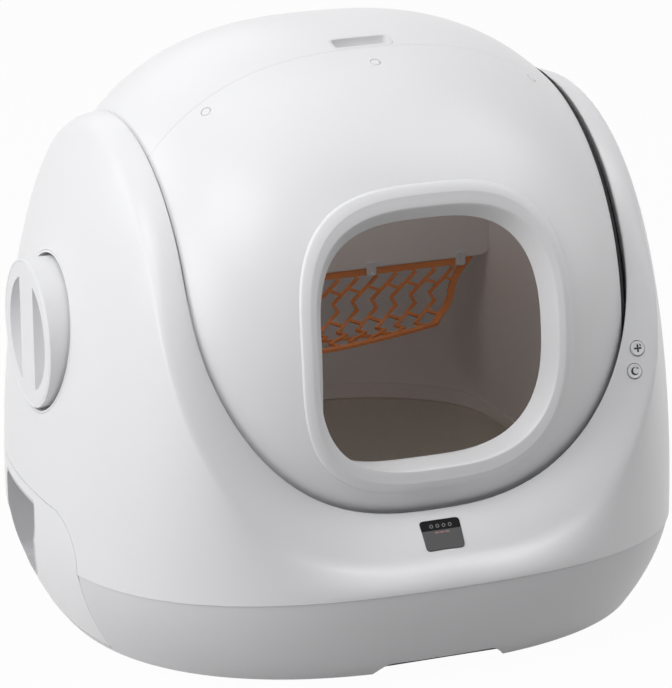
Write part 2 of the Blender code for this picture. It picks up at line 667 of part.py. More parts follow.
def make_motor():
    place = (PINION_PLACE.y, PINION_PLACE.z)
    plate_x = ARM_PANEL_X + ARM_PANEL_THICKNESS + FIT_GAP
    plate_end = plate_x + BRACKET_THICKNESS
    bracket = prism("motor_bracket", rounded_box_outline(
        (place[0] - BRACKET_HALF, place[1] - BRACKET_HALF), (place[0] + BRACKET_HALF, place[1] + BRACKET_HALF),
        BRACKET_CORNER), "YZ", plate_x, plate_end)
    hole = [(0.0, 0.0), (0.0, MOTOR_SHAFT_HOLE), (ARM_PANEL_X * 2, MOTOR_SHAFT_HOLE), (ARM_PANEL_X * 2, 0.0)]
    cut(bracket, turned("bracket_hole", hole, 24, place))
    paint(bracket, STEEL, 0.4, 0.9)
    motor_x = plate_end + FIT_GAP
    motor = turned("gear_motor", [(motor_x, 0.0), (motor_x, MOTOR_RADIUS), (motor_x + MOTOR_LENGTH, MOTOR_RADIUS),
                                  (motor_x + MOTOR_LENGTH, 0.0)], 28, place)
    return paint(motor, STEEL, 0.35, 0.8)


def make_divider():
    half = DRUM_HALF_LENGTH
    outline = rounded_box_outline((-half, DIVIDER_LOW), (half, DIVIDER_TOP), DIVIDER_CORNER)
    wall = prism("divider_wall", outline, "XZ", DIVIDER_Y, DIVIDER_Y + DIVIDER_THICKNESS)
    for k, share in enumerate(CLIP_PLACES_SHARES):
        x = share * SIEVE_HALF_WIDTH
        low = (x - CLIP_WIDTH / 2, DIVIDER_Y - CLIP_THICKNESS, DIVIDER_LOW - CLIP_HEIGHT / 2)
        high = (x + CLIP_WIDTH / 2, DIVIDER_Y + CLIP_THICKNESS / 2, DIVIDER_LOW + CLIP_HEIGHT / 2)
        add(wall, block("clip_%d" % k, low, high))
    return paint(wall, SHADE, 0.5)


def sieve_point(x, depth, lift):
    """A point of the bent sieve sheet: depth runs down its wall, round its bend and along its tray."""
    top = DIVIDER_LOW - FIT_GAP
    middle = DIVIDER_Y + CLIP_THICKNESS / 2 + FIT_GAP + SIEVE_THICKNESS / 2
    arc = SIEVE_BEND * math.pi / 2
    if depth <= SIEVE_DROP:
        return Vector((x, middle + lift, top - depth))
    if depth <= SIEVE_DROP + arc:
        turn = (depth - SIEVE_DROP) / SIEVE_BEND
        radius = SIEVE_BEND + lift
        return Vector((x, middle - SIEVE_BEND + radius * math.cos(turn), top - SIEVE_DROP - radius * math.sin(turn)))
    return Vector((x, middle - SIEVE_BEND - (depth - SIEVE_DROP - arc), top - SIEVE_DROP - SIEVE_BEND - lift))


def sieve_depth(x):
    """How far the sheet reaches at x: a half moon, deepest in the middle."""
    side = abs(x) / SIEVE_HALF_WIDTH
    blunt_share = 0.12
    slope_share = 0.5
    end_share = 0.93
    whole = SIEVE_DROP + SIEVE_BEND * math.pi / 2 + SIEVE_TRAY
    slope = 1 - slope_share * (math.hypot(side, blunt_share) - blunt_share)
    return whole * slope * math.sqrt(1 - (side * end_share) ** 6)


def make_sieve():
    """A sheet of zigzag cells: each cell is a six sided ring of bars."""
    verts = []
    faces = []
    index = {}
    margin = SIEVE_BAR

    def vertex(key, x, share, lift):
        if key not in index:
            index[key] = len(verts)
            verts.append(sieve_point(x, margin + (sieve_depth(x) - 2 * margin) * share, lift))
        return index[key]

    pitch = 2 * (SIEVE_HALF_WIDTH - margin) / SIEVE_COLUMNS
    hole_keep_share = 1 - SIEVE_BAR / pitch
    half = SIEVE_THICKNESS / 2
    cells = []
    for i in range(SIEVE_COLUMNS):
        for j in range(SIEVE_ROWS):
            x0 = -SIEVE_HALF_WIDTH + margin + i * pitch
            top, low = j / SIEVE_ROWS, (j + 1) / SIEVE_ROWS
            inside = 0 < i < SIEVE_COLUMNS
            inside_right = i + 1 < SIEVE_COLUMNS
            swing = SIEVE_ZIGZAG_SHARE * pitch
            corner = [((i, j, "t"), x0, top), ((i + 1, j, "t"), x0 + pitch, top),
                      ((i + 1, j, "m"), x0 + pitch + (swing if inside_right else 0.0), (top + low) / 2),
                      ((i + 1, j + 1, "t"), x0 + pitch, low), ((i, j + 1, "t"), x0, low),
                      ((i, j, "m"), x0 + (swing if inside else 0.0), (top + low) / 2)]
            cells.append((i, j, corner))
    for i, j, corner in cells:
        mid_x = sum(c[1] for c in corner) / len(corner)
        mid_s = sum(c[2] for c in corner) / len(corner)
        rings = {}
        for side, lift in (("f", -half), ("b", half)):
            outer = [vertex((side,) + key, x, s, lift) for key, x, s in corner]
            inner = [vertex((side, i, j, n), mid_x + (x - mid_x) * hole_keep_share,
                            mid_s + (s - mid_s) * hole_keep_share, lift) for n, (key, x, s) in enumerate(corner)]
            rings[side] = (outer, inner)
            for n in range(len(corner)):
                after = (n + 1) % len(corner)
                faces.append((outer[n], outer[after], inner[after], inner[n]))
        front, back = rings["f"][1], rings["b"][1]
        for n in range(len(corner)):
            after = (n + 1) % len(corner)
            faces.append((front[n], front[after], back[after], back[n]))
    border = []
    for i in range(SIEVE_COLUMNS):
        border.append((("i", i, 0, "t"), ("i", i + 1, 0, "t")))
        border.append((("i", i, SIEVE_ROWS, "t"), ("i", i + 1, SIEVE_ROWS, "t")))
    for j in range(SIEVE_ROWS):
        for i in (0, SIEVE_COLUMNS):
            border.append((("i", i, j, "t"), ("i", i, j, "m")))
            border.append((("i", i, j, "m"), ("i", i, j + 1, "t")))
    for first, second in border:
        a, b = index[("f",) + first[1:]], index[("f",) + second[1:]]
        c, d = index[("b",) + second[1:]], index[("b",) + first[1:]]
        faces.append((a, b, c, d))
    return paint(new_object("sieve", verts, faces), ORANGE, 0.5)


def make_liner():
    liner = shell_tube("litter_liner", -DRUM_WALL - FIT_GAP, LINER_WALL, DRUM_HALF_LENGTH)
    reach = DRUM_RADIUS + OVERRUN
    keep(liner, block("liner_space", (-LINER_HALF_LENGTH, -reach, -reach), (LINER_HALF_LENGTH, reach, LINER_TOP_Z)))
    return paint(liner, DARK_GREY, 0.7)


def body_outline(turn, half_width, front, rear, front_power, rear_power):
    """A point of the body's plan outline. turn runs from the front, anticlockwise seen from above."""
    direction = (math.sin(turn), -math.cos(turn))
    power = front_power if direction[1] < 0 else rear_power
    depth = front if direction[1] < 0 else rear
    size = (abs(direction[0]) / half_width) ** power + (abs(direction[1]) / depth) ** power
    reach = size ** (-1 / power)
    return Vector((direction[0] * reach, direction[1] * reach, 0.0))


def parting_point(turn, inset=0.0, drop=0.0):
    point = body_outline(turn, BODY_HALF_WIDTH - inset, BODY_FRONT - inset, BODY_REAR - inset,
                         BODY_FRONT_POWER, BODY_REAR_POWER)
    rise = PARTING_FRONT_RISE * max(0.0, -point.y / BODY_FRONT) ** 3
    point.z = PARTING_Z + rise - drop
    return point


def skirt_point(turn, inset=0.0, z=SKIRT_BOTTOM_Z):
    point = body_outline(turn, SKIRT_HALF_WIDTH - inset, SKIRT_FRONT - inset, SKIRT_REAR - inset,
                         SKIRT_POWER, SKIRT_POWER)
    point.z = z
    return point


def rim_station(side, bend, angle=None, rear=False):
    """The rim's edge, lip, band and crease at one station.

    bend runs from 0, at the middle of the front or rear, to 90 degrees, where the arm starts.
    On an arm, angle gives the place round the drum's axis instead."""
    low_angle = RIM_REAR_ANGLE if rear else RIM_FRONT_ANGLE
    if angle is None:
        x = RIM_HALF_WIDTH * power_ratio(math.sin(bend), RIM_POWER)
        angle = RIM_SIDE_ANGLE - (RIM_SIDE_ANGLE - low_angle) * power_ratio(math.cos(bend), RIM_POWER)
        if rear:
            angle = math.pi - angle
    else:
        x = RIM_HALF_WIDTH
        bend = math.pi / 2
    edge = on_drum(x, angle, DRUM_GAP)
    out = Vector((0.0, -math.cos(angle), math.sin(angle)))
    up = Vector((0.0, math.sin(angle), math.cos(angle)))
    if rear:
        up = -up
    across = Vector((1.0, 0.0, 0.0))
    soft = math.cos(bend)
    width = (BAND_SIDE_WIDTH + BAND_CORNER_WIDTH * soft) * math.sin(bend)
    reach = BAND_SIDE_REACH + (BAND_FRONT_REACH - BAND_SIDE_REACH) * max(0.0, soft) ** BAND_REACH_POWER
    drop = (BAND_FRONT_DROP + BAND_CORNER_DROP * abs(math.sin(bend))) * soft
    crease = edge + across * width + out * reach - up * drop
    # The lip runs down into the gap, along the drum's surface, square to the edge
    beside = math.sin(bend) ** ARM_LIP_POWER
    outward = (across + out * drum_slope(x)).lerp(-out, beside).normalized()
    lip = edge + (outward * math.sin(bend) - up * soft).normalized() * RIM_LIP
    normal = (crease - edge).cross(across * soft * -1 - up * math.sin(bend) * (-1 if rear else 1)).normalized()
    if normal.dot(out + Vector((0.0, 0.0, 0.5))) < 0:
        normal = -normal
    middle = (edge + crease) / 2 + normal * BAND_CROWN
    points = [lip, edge, middle, crease]
    if side < 0:
        points = [Vector((-p.x, p.y, p.z)) for p in points]
    return points


def rim_loop():
    """Stations once round the cradle, from the middle of the front, anticlockwise."""
    front = [math.radians(a) for a in spread(0.0, 90.0, FRONT_STATIONS)]
    arm = spread(RIM_SIDE_ANGLE, math.pi - RIM_SIDE_ANGLE, ARM_STATIONS + 1)[1:-1]
    right = [rim_station(1, b) for b in front]
    right += [rim_station(1, None, a, a > math.pi / 2) for a in arm]
    right += [rim_station(1, b, None, True) for b in reversed(front)]
    left = [[Vector((-p.x, p.y, p.z)) for p in station] for station in reversed(right[1:-1])]
    return right + left


def side_curve(crease, foot):
    """The body's outer side, from the rim's crease down to the parting line."""
    flat = Vector((foot.x - crease.x, foot.y - crease.y, 0.0))
    height = crease.z - foot.z
    first = crease + flat * SIDE_OUT_SHARE - Vector((0.0, 0.0, height * SIDE_DOWN_SHARE))
    second = foot - flat * SIDE_IN_SHARE + Vector((0.0, 0.0, height * SIDE_UP_SHARE))
    points = []
    for t in spread(0.0, 1.0, SIDE_STEPS)[1:]:
        s = 1 - t
        points.append(crease * s ** 3 + first * 3 * s * s * t + second * 3 * s * t * t + foot * t ** 3)
    return points


def plan_turn(point):
    return math.atan2(point.x, -point.y)


def cradle_rows():
    """The cradle's visible surface as rows of points, from the lip to the parting line."""
    columns = []
    for station in rim_loop():
        crease = station[-1]
        columns.append(station + side_curve(crease, parting_point(plan_turn(crease))))
    return columns


def skirt_columns(inset=0.0, top_drop=PARTING_GAP, bottom_z=SKIRT_BOTTOM_Z, steps=3):
    """The base skirt's outer surface, from just under the parting line to its foot."""
    columns = []
    for column in cradle_rows():
        turn = plan_turn(column[-1])
        high = parting_point(turn, SKIRT_STEP + inset, top_drop)
        low = skirt_point(turn, inset, bottom_z)
        out = Vector((math.sin(turn), -math.cos(turn), 0.0)) * (high - low).length * SKIRT_BULGE_SHARE
        columns.append([high.lerp(low, t) + out * (4 * t * (1 - t)) for t in spread(0.0, 1.0, steps)])
    return columns


def thick_sheet(name, columns, wall, level_rows):
    """A closed wall from columns of points round a loop, thickened towards the hollow of the body.

    The rows named in level_rows are thickened level, so that the wall ends in a flat edge."""
    rows = len(columns[0])
    inner = []
    for i, column in enumerate(columns):
        ahead, behind = columns[(i + 1) % len(columns)], columns[i - 1]
        inner_column = []
        for k, point in enumerate(column):
            down = column[min(k + 1, rows - 1)] - column[max(k - 1, 0)]
            out = (ahead[k] - behind[k]).cross(-down)
            if k in level_rows or k - rows in level_rows:
                out.z = 0.0
            inner_column.append(point - out.normalized() * wall)
        inner.append(inner_column)
    rings = [column + inner_column[::-1] for column, inner_column in zip(columns, inner)]
    return loft(name, rings, cap=False)


def body_core(name, inset):
    """The body's outer form as one filled solid, drawn in by an inset. It is used only as a tool."""
    cradle = cradle_rows()
    rings = []
    keep_rows = range(len(cradle[0]) - 1, 2, -1)
    bottom = [skirt_point(plan_turn(c[-1]), inset, SKIRT_BOTTOM_Z) for c in cradle]
    rings.append(bottom)
    skirt = skirt_columns(inset, 0.0)
    for k in (2, 1):
        rings.append([c[k] for c in skirt])
    for k in keep_rows:
        ring = []
        for column in cradle:
            point = column[k].copy()
            flat = Vector((point.x, point.y, 0.0))
            ring.append(point - flat.normalized() * inset)
        rings.append(ring)
    verts = [p for ring in rings for p in ring]
    count = len(rings[0])
    faces = strip_faces(rings, False)
    verts += [Vector((0.0, 0.0, SKIRT_BOTTOM_Z)), Vector((0.0, 0.0, 0.0))]
    top_start = (len(rings) - 1) * count
    for k in range(count):
        n = (k + 1) % count
        faces.append((k, n, len(verts) - 2))
        faces.append((top_start + k, top_start + n, len(verts) - 1))
    return new_object(name, verts, faces)


def drawer_outline(grow):
    """Rounded at the top, more so at the front, and square below, where it runs down to the sill."""
    front, rear = DRAWER_FRONT_Y - grow, DRAWER_REAR_Y + grow
    low, top = DRAWER_BOTTOM_Z - grow, DRAWER_TOP_Z + grow
    rear_round, front_round = DRAWER_REAR_CORNER + grow, DRAWER_FRONT_CORNER + grow
    corners = ((rear - rear_round, rear_round, 0.0), (front + front_round, front_round, math.pi / 2))
    points = []
    for centre, radius, start in corners:
        for turn in spread(start, start + math.pi / 2, DRAWER_CORNER_STEPS):
            points.append((centre + radius * math.cos(turn), top - radius + radius * math.sin(turn)))
    return points + [(front, low), (rear, low)]


def drawer_hole(name, grow):
    reach = BODY_HALF_WIDTH + OVERRUN
    return prism(name, drawer_outline(grow), "YZ", -reach, -SKIRT_HALF_WIDTH / 3)


def cover_outline(grow):
    return rounded_box_outline((-COVER_HALF_WIDTH - grow, COVER_LOW_Z - grow),
                               (COVER_HALF_WIDTH + grow, COVER_TOP_Z + grow), COVER_CORNER)


def band_frame(bend, share):
    """A place on the rim's band: its point, its outward normal and its two directions."""
    step = math.radians(1.0)
    here, behind, ahead = (rim_station(1, b) for b in (bend, bend - step, bend + step))
    point = here[1].lerp(here[3], share) + (here[2] - (here[1] + here[3]) / 2) * 4 * share * (1 - share)
    down = (here[3] - here[1]).normalized()
    along = (ahead[1].lerp(ahead[3], share) - behind[1].lerp(behind[3], share)).normalized()
    along = (along - down * along.dot(down)).normalized()
    normal = along.cross(down).normalized()
    if normal.dot(Vector((0.0, -1.0, 1.0))) < 0:
        normal = -normal
    return point, normal, along, down


def bend_of_angle(angle):
    share = (RIM_SIDE_ANGLE - angle) / (RIM_SIDE_ANGLE - RIM_FRONT_ANGLE)
    return math.acos(min(1.0, share ** (RIM_POWER / 2)))


def oriented(obj, point, along, down, normal):
    """Moves a shape made round zero, with X along, Y up the band and Z out of it."""
    turn = Matrix((along, -down, normal)).transposed().to_4x4()
    obj.data.transform(Matrix.Translation(point) @ turn)
    return obj


def lens_plate(name, grow, low, high, extra=0.0):
    half = (LENS_WIDTH / 2 + grow + extra, LENS_HEIGHT / 2 + grow + extra)
    return prism(name, rounded_box_outline((-half[0], -half[1]), half, LENS_CORNER + grow, 4), "XY", low, high)


def make_display(cradle):
    point, normal, along, down = band_frame(0.0, LENS_BAND_SHARE)
    place = (point, along, down, normal)
    cut(cradle, oriented(lens_plate("lens_hole", FIT_GAP, -OVERRUN / 3, OVERRUN / 3), *place))
    lens = oriented(lens_plate("display_lens", 0.0, -LENS_THICKNESS, 0.0), *place)
    paint(lens, BLACK, 0.1)
    back = -BODY_WALL - 2 * FIT_GAP - BAND_CROWN
    board = oriented(lens_plate("display_board", 0.0, back - BOARD_THICKNESS, back, BOARD_MARGIN), *place)
    light_box = lens_plate("display_light_box", -BOARD_MARGIN, back - BOARD_THICKNESS / 2, -LENS_THICKNESS - FIT_GAP)
    add(board, oriented(light_box, *place))
    return paint(board, GREEN, 0.6)


def turn_to_band(side, run, normal, place):
    return Matrix.Translation(place) @ Matrix((side, run, normal)).transposed().to_4x4()


def make_buttons(cradle):
    frames = []
    for name, angle, share in zip(("upper", "lower"), BUTTON_ANGLES, BUTTON_BAND_SHARES):
        point, normal, along, down = band_frame(bend_of_angle(angle), share)
        frames.append((point, normal))
        hole = cylinder("button_hole_" + name, BUTTON_RADIUS + RUNNING_GAP, -OVERRUN / 3, OVERRUN / 3, point, normal, 32)
        cut(cradle, hole)
        flange_top = -BODY_WALL - BAND_CROWN - FIT_GAP
        flange_low = flange_top - BUTTON_FLANGE_THICKNESS
        end = flange_low - BUTTON_LENGTH / 4
        flange = BUTTON_RADIUS + BUTTON_FLANGE
        profile = [(BUTTON_PROUD, 0.0), (BUTTON_PROUD, BUTTON_RADIUS - BUTTON_PROUD / 2),
                   (BUTTON_PROUD / 2, BUTTON_RADIUS), (flange_top, BUTTON_RADIUS), (flange_top, flange),
                   (flange_low, flange), (flange_low, BUTTON_RADIUS / 3), (end, BUTTON_RADIUS / 3), (end, 0.0)]
        button = turned(name + "_button", profile, 32)
        turn = Vector((1.0, 0.0, 0.0)).rotation_difference(normal).to_matrix().to_4x4()
        button.data.transform(turn)
        button.location = point
        paint(button, WHITE, 0.4)
    middle = (frames[0][0] + frames[1][0]) / 2
    normal = (frames[0][1] + frames[1][1]).normalized()
    run = (frames[0][0] - frames[1][0]).normalized()
    run = (run - normal * run.dot(normal)).normalized()
    side = run.cross(normal)
    depth = end - BUTTON_TRAVEL - FIT_GAP
    spacing = (frames[0][0] - frames[1][0]).length
    half = (BUTTON_RADIUS, spacing / 2 + BUTTON_RADIUS + BUTTON_FLANGE + BOARD_POST_RADIUS * 2)
    outline = rounded_box_outline((-half[0], -half[1]), half, BOARD_THICKNESS)
    board = prism("button_board", outline, "XY", depth - BOARD_THICKNESS, depth)
    for name, end_sign in (("upper", 1), ("lower", -1)):
        place = (0.0, end_sign * (half[1] - BOARD_POST_RADIUS), 0.0)
        post = cylinder("board_post_" + name, BOARD_POST_RADIUS, depth - BOARD_THICKNESS / 2,
                        -BODY_WALL - BUTTON_PROUD, place, (0.0, 0.0, 1.0), 16)
        add(board, post)
        post.data.transform(turn_to_band(side, run, normal, middle))
    board.data.transform(turn_to_band(side, run, normal, middle))
    return paint(board, GREEN, 0.6)


def make_cradle():
    cradle = thick_sheet("cradle_shell", cradle_rows(), BODY_WALL, (-1,))
    cut(cradle, drawer_hole("cradle_drawer_hole", 0.0))
    reach = BODY_HALF_WIDTH + OVERRUN
    well_hole = KNOB_WELL_RADIUS + FIT_GAP
    hole_end = KNOB_WELL_FLOOR_X + KNOB_HOLE_BEYOND
    cut(cradle, turned("knob_hole", [(-reach, 0.0), (-reach, well_hole), (hole_end, well_hole), (hole_end, 0.0)], 56))
    cut(cradle, prism("cover_hole", cover_outline(COVER_GAP), "XZ", 0.0, BODY_REAR + OVERRUN))
    make_display(cradle)
    make_buttons(cradle)
    return paint(cradle, WHITE, 0.35)


def make_skirt():
    skirt = thick_sheet("base_skirt", skirt_columns(), BODY_WALL, (0, -1))
    cut(skirt, drawer_hole("skirt_drawer_hole", 0.0))
    low = SKIRT_BOTTOM_Z
    outline = [(-NOTCH_FOOT_HALF, low - OVERRUN), (NOTCH_FOOT_HALF, low - OVERRUN), (NOTCH_FOOT_HALF, low),
               (NOTCH_TOP_HALF, low + NOTCH_HEIGHT), (-NOTCH_TOP_HALF, low + NOTCH_HEIGHT), (-NOTCH_FOOT_HALF, low)]
    cut(skirt, prism("front_notch", outline, "XZ", -BODY_FRONT - OVERRUN, -SKIRT_FRONT / 2))
    return paint(skirt, SHADE, 0.4)


def make_base_plate():
    turns = [2 * math.pi * k / 72 for k in range(72)]
    low = SKIRT_BOTTOM_Z
    high = low + PLATE_THICKNESS
    rings = [[skirt_point(t, PLATE_INSET, z) for t in turns] for z in (low, high)]
    plate = paint(loft("base_plate", rings), DARK_GREY, 0.6)
    outline = [(-NOTCH_FOOT_HALF, -BODY_FRONT), (NOTCH_FOOT_HALF, -BODY_FRONT),
               (NOTCH_FOOT_HALF, -SKIRT_FRONT + OVERRUN / 2), (-NOTCH_FOOT_HALF, -SKIRT_FRONT + OVERRUN / 2)]
    cut(plate, prism("plate_notch", outline, "XY", low - OVERRUN, high + OVERRUN))
    for row, y in (("front", FOOT_FRONT_Y), ("rear", FOOT_REAR_Y)):
        for name, x in (("left", -FOOT_X), ("right", FOOT_X)):
            place = (x, y, low - FIT_GAP)
            foot = cylinder("foot_%s_%s" % (row, name), FOOT_RADIUS, 0.0, FOOT_HEIGHT, place, (0.0, 0.0, -1.0))
            paint(foot, BLACK, 0.8)
    for name, y in (("front", RAIL_FRONT_Y), ("rear", RAIL_REAR_Y)):
        low_corner = (-RAIL_HALF_LENGTH, y - RAIL_WIDTH / 2, high + FIT_GAP)
        high_corner = (RAIL_HALF_LENGTH, y + RAIL_WIDTH / 2, TUB_BOTTOM_Z - FIT_GAP)
        paint(block("drawer_rail_" + name, low_corner, high_corner), STEEL, 0.3, 0.9)


def rim_angle(x, rear):
    """The rim's edge as an angle round the drum's axis, at a distance x from the middle."""
    low_angle = RIM_REAR_ANGLE if rear else RIM_FRONT_ANGLE
    share = (1 - (abs(x) / RIM_HALF_WIDTH) ** RIM_POWER) ** (1 / RIM_POWER)
    return RIM_SIDE_ANGLE - (RIM_SIDE_ANGLE - low_angle) * share


def make_basin():
    """The wall under the drum, hung between the rim's lips, with the waste chute cut in its rear."""
    columns = []
    for x in spread(-BASIN_HALF_LENGTH, BASIN_HALF_LENGTH, 12):
        run = abs(rim_angle(x + EDGE_STEP, False) - rim_angle(x - EDGE_STEP, False)) / (2 * EDGE_STEP)
        back_off = (RIM_LIP + BASIN_EDGE_GAP) * math.hypot(1.0, run * drum_radius(x)) / drum_radius(x)
        start = rim_angle(x, False) - back_off
        end = -math.pi - rim_angle(x, True) + back_off
        angles = spread(start, end, BASIN_STEPS)
        ring = [on_drum(x, a, DRUM_GAP) for a in angles]
        ring += [on_drum(x, a, DRUM_GAP + BASIN_WALL) for a in reversed(angles)]
        columns.append(ring)
    basin = loft("drum_basin", columns)
    # The chute's four corners lie on two planes through the drum's axis
    outline = []
    for radius, turn in ((DRUM_RADIUS / 2, CHUTE_START), (DRUM_RADIUS + OVERRUN, CHUTE_START),
                         (DRUM_RADIUS + OVERRUN, CHUTE_END), (DRUM_RADIUS / 2, CHUTE_END)):
        outline.append((-radius * math.cos(turn), radius * math.sin(turn)))
    cut(basin, prism("chute_hole", outline, "YZ", -CHUTE_HALF_WIDTH, CHUTE_HALF_WIDTH))
    return paint(basin, SHADE, 0.5)


def arm_panel_outline(low):
    radius = drum_radius(RIM_HALF_WIDTH) - ARM_PANEL_UNDER_RIM
    points = [(radius * math.cos(a), radius * math.sin(a)) for a in spread(0.0, math.pi, 24)]
    return points + [(-radius, low), (radius, low)]


def make_arm_panels():
    outer = ARM_PANEL_X + ARM_PANEL_THICKNESS
    bore = STUB_RADIUS + RUNNING_GAP
    left_low = DRAWER_TOP_Z + ARM_PANEL_ABOVE_DRAWER
    right_low = PINION_PLACE.z - BRACKET_HALF - ARM_PANEL_BELOW_MOTOR
    for name, side, low in (("left", -1, left_low), ("right", 1, right_low)):
        ends = sorted((side * ARM_PANEL_X, side * outer))
        panel = prism("arm_panel_" + name, arm_panel_outline(low), "YZ", *ends)
        hole = bore + BUSH_WALL + FIT_GAP
        hole_end = side * outer * 2
        cut(panel, turned("bush_hole_" + name, [(0.0, 0.0), (0.0, hole), (hole_end, hole), (hole_end, 0.0)], 40))
        if side > 0:
            shaft = [(0.0, 0.0), (0.0, MOTOR_SHAFT_HOLE), (hole_end, MOTOR_SHAFT_HOLE), (hole_end, 0.0)]
            cut(panel, turned("shaft_hole", shaft, 24, (PINION_PLACE.y, PINION_PLACE.z)))
        paint(panel, SHADE, 0.5)
        middle = ARM_PANEL_X + ARM_PANEL_THICKNESS / 2
        profile = [(side * (middle - BUSH_LENGTH / 2), bore), (side * (middle + BUSH_LENGTH / 2), bore),
                   (side * (middle + BUSH_LENGTH / 2), bore + BUSH_WALL),
                   (side * (middle - BUSH_LENGTH / 2), bore + BUSH_WALL)]
        paint(turned("axle_bush_" + name, profile, 40, hollow=True), DARK_GREY, 0.4)


def make_knob():
    face = -BODY_HALF_WIDTH
    back = face + KNOB_HEIGHT
    profile = [(face, 0.0), (face, KNOB_RADIUS - KNOB_EDGE), (face + KNOB_EDGE / 3, KNOB_RADIUS - KNOB_EDGE / 3),
               (face + KNOB_EDGE, KNOB_RADIUS), (back, KNOB_RADIUS), (back, KNOB_RADIUS - KNOB_WALL),
               (face + KNOB_RECESS_DEPTH + KNOB_WALL, KNOB_RADIUS - KNOB_WALL),
               (face + KNOB_RECESS_DEPTH + KNOB_WALL, 0.0)]
    knob = turned("lock_knob", profile, 56)
    for name, side in (("front", -1), ("rear", 1)):
        edge_turn = math.acos(KNOB_BAR_HALF / KNOB_RECESS_RADIUS)
        outline = [(side * KNOB_RECESS_RADIUS * math.cos(a), KNOB_RECESS_RADIUS * math.sin(a))
                   for a in spread(-edge_turn, edge_turn, 16)]
        cut(knob, prism("knob_recess_" + name, outline, "YZ", face - OVERRUN, face + KNOB_RECESS_DEPTH))
    paint(knob, WHITE, 0.35)
    start = face + KNOB_RECESS_DEPTH + KNOB_WALL + FIT_GAP
    end = -CAP_OUTER_X - STUB_LENGTH + SOCKET_DEPTH / 2
    spindle = turned("knob_spindle", [(start, 0.0), (start, SPINDLE_RADIUS), (end, SPINDLE_RADIUS), (end, 0.0)], 28)
    paint(spindle, STEEL, 0.3, 0.9)


def make_knob_well():
    floor_x = KNOB_WELL_FLOOR_X
    outer = KNOB_WELL_RADIUS
    inner = outer - KNOB_WELL_WALL
    bore = SPINDLE_RADIUS + RUNNING_GAP
    mouth = -BODY_HALF_WIDTH
    profile = [(mouth, inner), (floor_x, inner), (floor_x, bore), (floor_x + KNOB_WELL_WALL, bore),
               (floor_x + KNOB_WELL_WALL, outer), (mouth, outer)]
    well = turned("knob_well", profile, 56, hollow=True)
    keep(well, body_core("well_core", 0.0))
    return paint(well, SHADE, 0.6)


def make_drawer_front():
    reach = BODY_HALF_WIDTH + OVERRUN
    front = prism("drawer_front", drawer_outline(-DRAWER_GAP), "YZ", -reach, -SKIRT_HALF_WIDTH / 3)
    keep(front, body_core("drawer_outer_core", 0.0))
    cut(front, body_core("drawer_inner_core", DRAWER_SKIN))
    grip = rounded_box_outline((GRIP_FRONT_Y, GRIP_LOW_Z), (GRIP_REAR_Y, GRIP_TOP_Z), GRIP_CORNER)
    hole = rounded_box_outline((GRIP_FRONT_Y - FIT_GAP, GRIP_LOW_Z - FIT_GAP),
                               (GRIP_REAR_Y + FIT_GAP, GRIP_TOP_Z + FIT_GAP), GRIP_CORNER + FIT_GAP)
    cut(front, prism("grip_hole", hole, "YZ", -reach, GRIP_FLOOR_X + OVERRUN))
    paint(front, WHITE, 0.35)
    cup = prism("drawer_grip", grip, "YZ", -reach, GRIP_FLOOR_X + GRIP_WALL)
    keep(cup, body_core("grip_core", 0.0))
    pocket = rounded_box_outline((GRIP_FRONT_Y + GRIP_WALL, GRIP_LOW_Z + GRIP_WALL),
                                 (GRIP_REAR_Y - GRIP_WALL, GRIP_TOP_Z - GRIP_WALL), GRIP_CORNER - GRIP_WALL)
    cut(cup, prism("grip_pocket", pocket, "YZ", -reach - OVERRUN, GRIP_FLOOR_X))
    return paint(cup, SHADE, 0.5)


def tub_lip(inset):
    radius = DRUM_RADIUS + DRUM_GAP + BASIN_WALL + TUB_ARC_GAP + inset
    return Vector((-radius * math.cos(TUB_LIP_TURN), radius * math.sin(TUB_LIP_TURN)))


TUB_REAR_TOP = Vector((TUB_REAR_TOP_Y, TUB_TOP_Z))
MOUTH_RUN = (TUB_REAR_TOP - tub_lip(0.0)).normalized()
MOUTH_OUT = Vector((-MOUTH_RUN.y, MOUTH_RUN.x))


def tub_outline(inset, open_mouth=False):
    """The tub's section: its front follows the basin, and its mouth slants down to the front."""
    radius = DRUM_RADIUS + DRUM_GAP + BASIN_WALL + TUB_ARC_GAP + inset
    low = TUB_BOTTOM_Z + inset
    first = -math.asin(-low / radius)
    last = math.pi - TUB_LIP_TURN
    points = [(radius * math.cos(a), radius * math.sin(a)) for a in spread(first, last, TUB_ARC_POINTS)]
    rear_top = TUB_REAR_TOP - Vector((inset, 0.0))
    if open_mouth:
        points += [tuple(tub_lip(inset) + MOUTH_OUT * OVERRUN), tuple(rear_top + MOUTH_OUT * OVERRUN)]
    return points + [tuple(rear_top), (TUB_REAR_LOW_Y - inset, low)]


def make_tub():
    left = -BODY_HALF_WIDTH - OVERRUN
    tub = prism("drawer_tub", tub_outline(0.0), "YZ", left, TUB_RIGHT_X)
    keep(tub, body_core("tub_outer_core", DRAWER_SKIN + FIT_GAP * 2))
    inner = prism("tub_space", tub_outline(TUB_WALL, True), "YZ", left - OVERRUN, TUB_RIGHT_X - TUB_WALL)
    keep(inner, body_core("tub_inner_core", DRAWER_SKIN + TUB_WALL + FIT_GAP * 2))
    cut(tub, inner)
    # The exact solver empties this cut, so the tub uses the other one
    tub.modifiers[-1].solver = "MANIFOLD"
    paint(tub, SHADE, 0.5)
    return make_bag_ring(left)


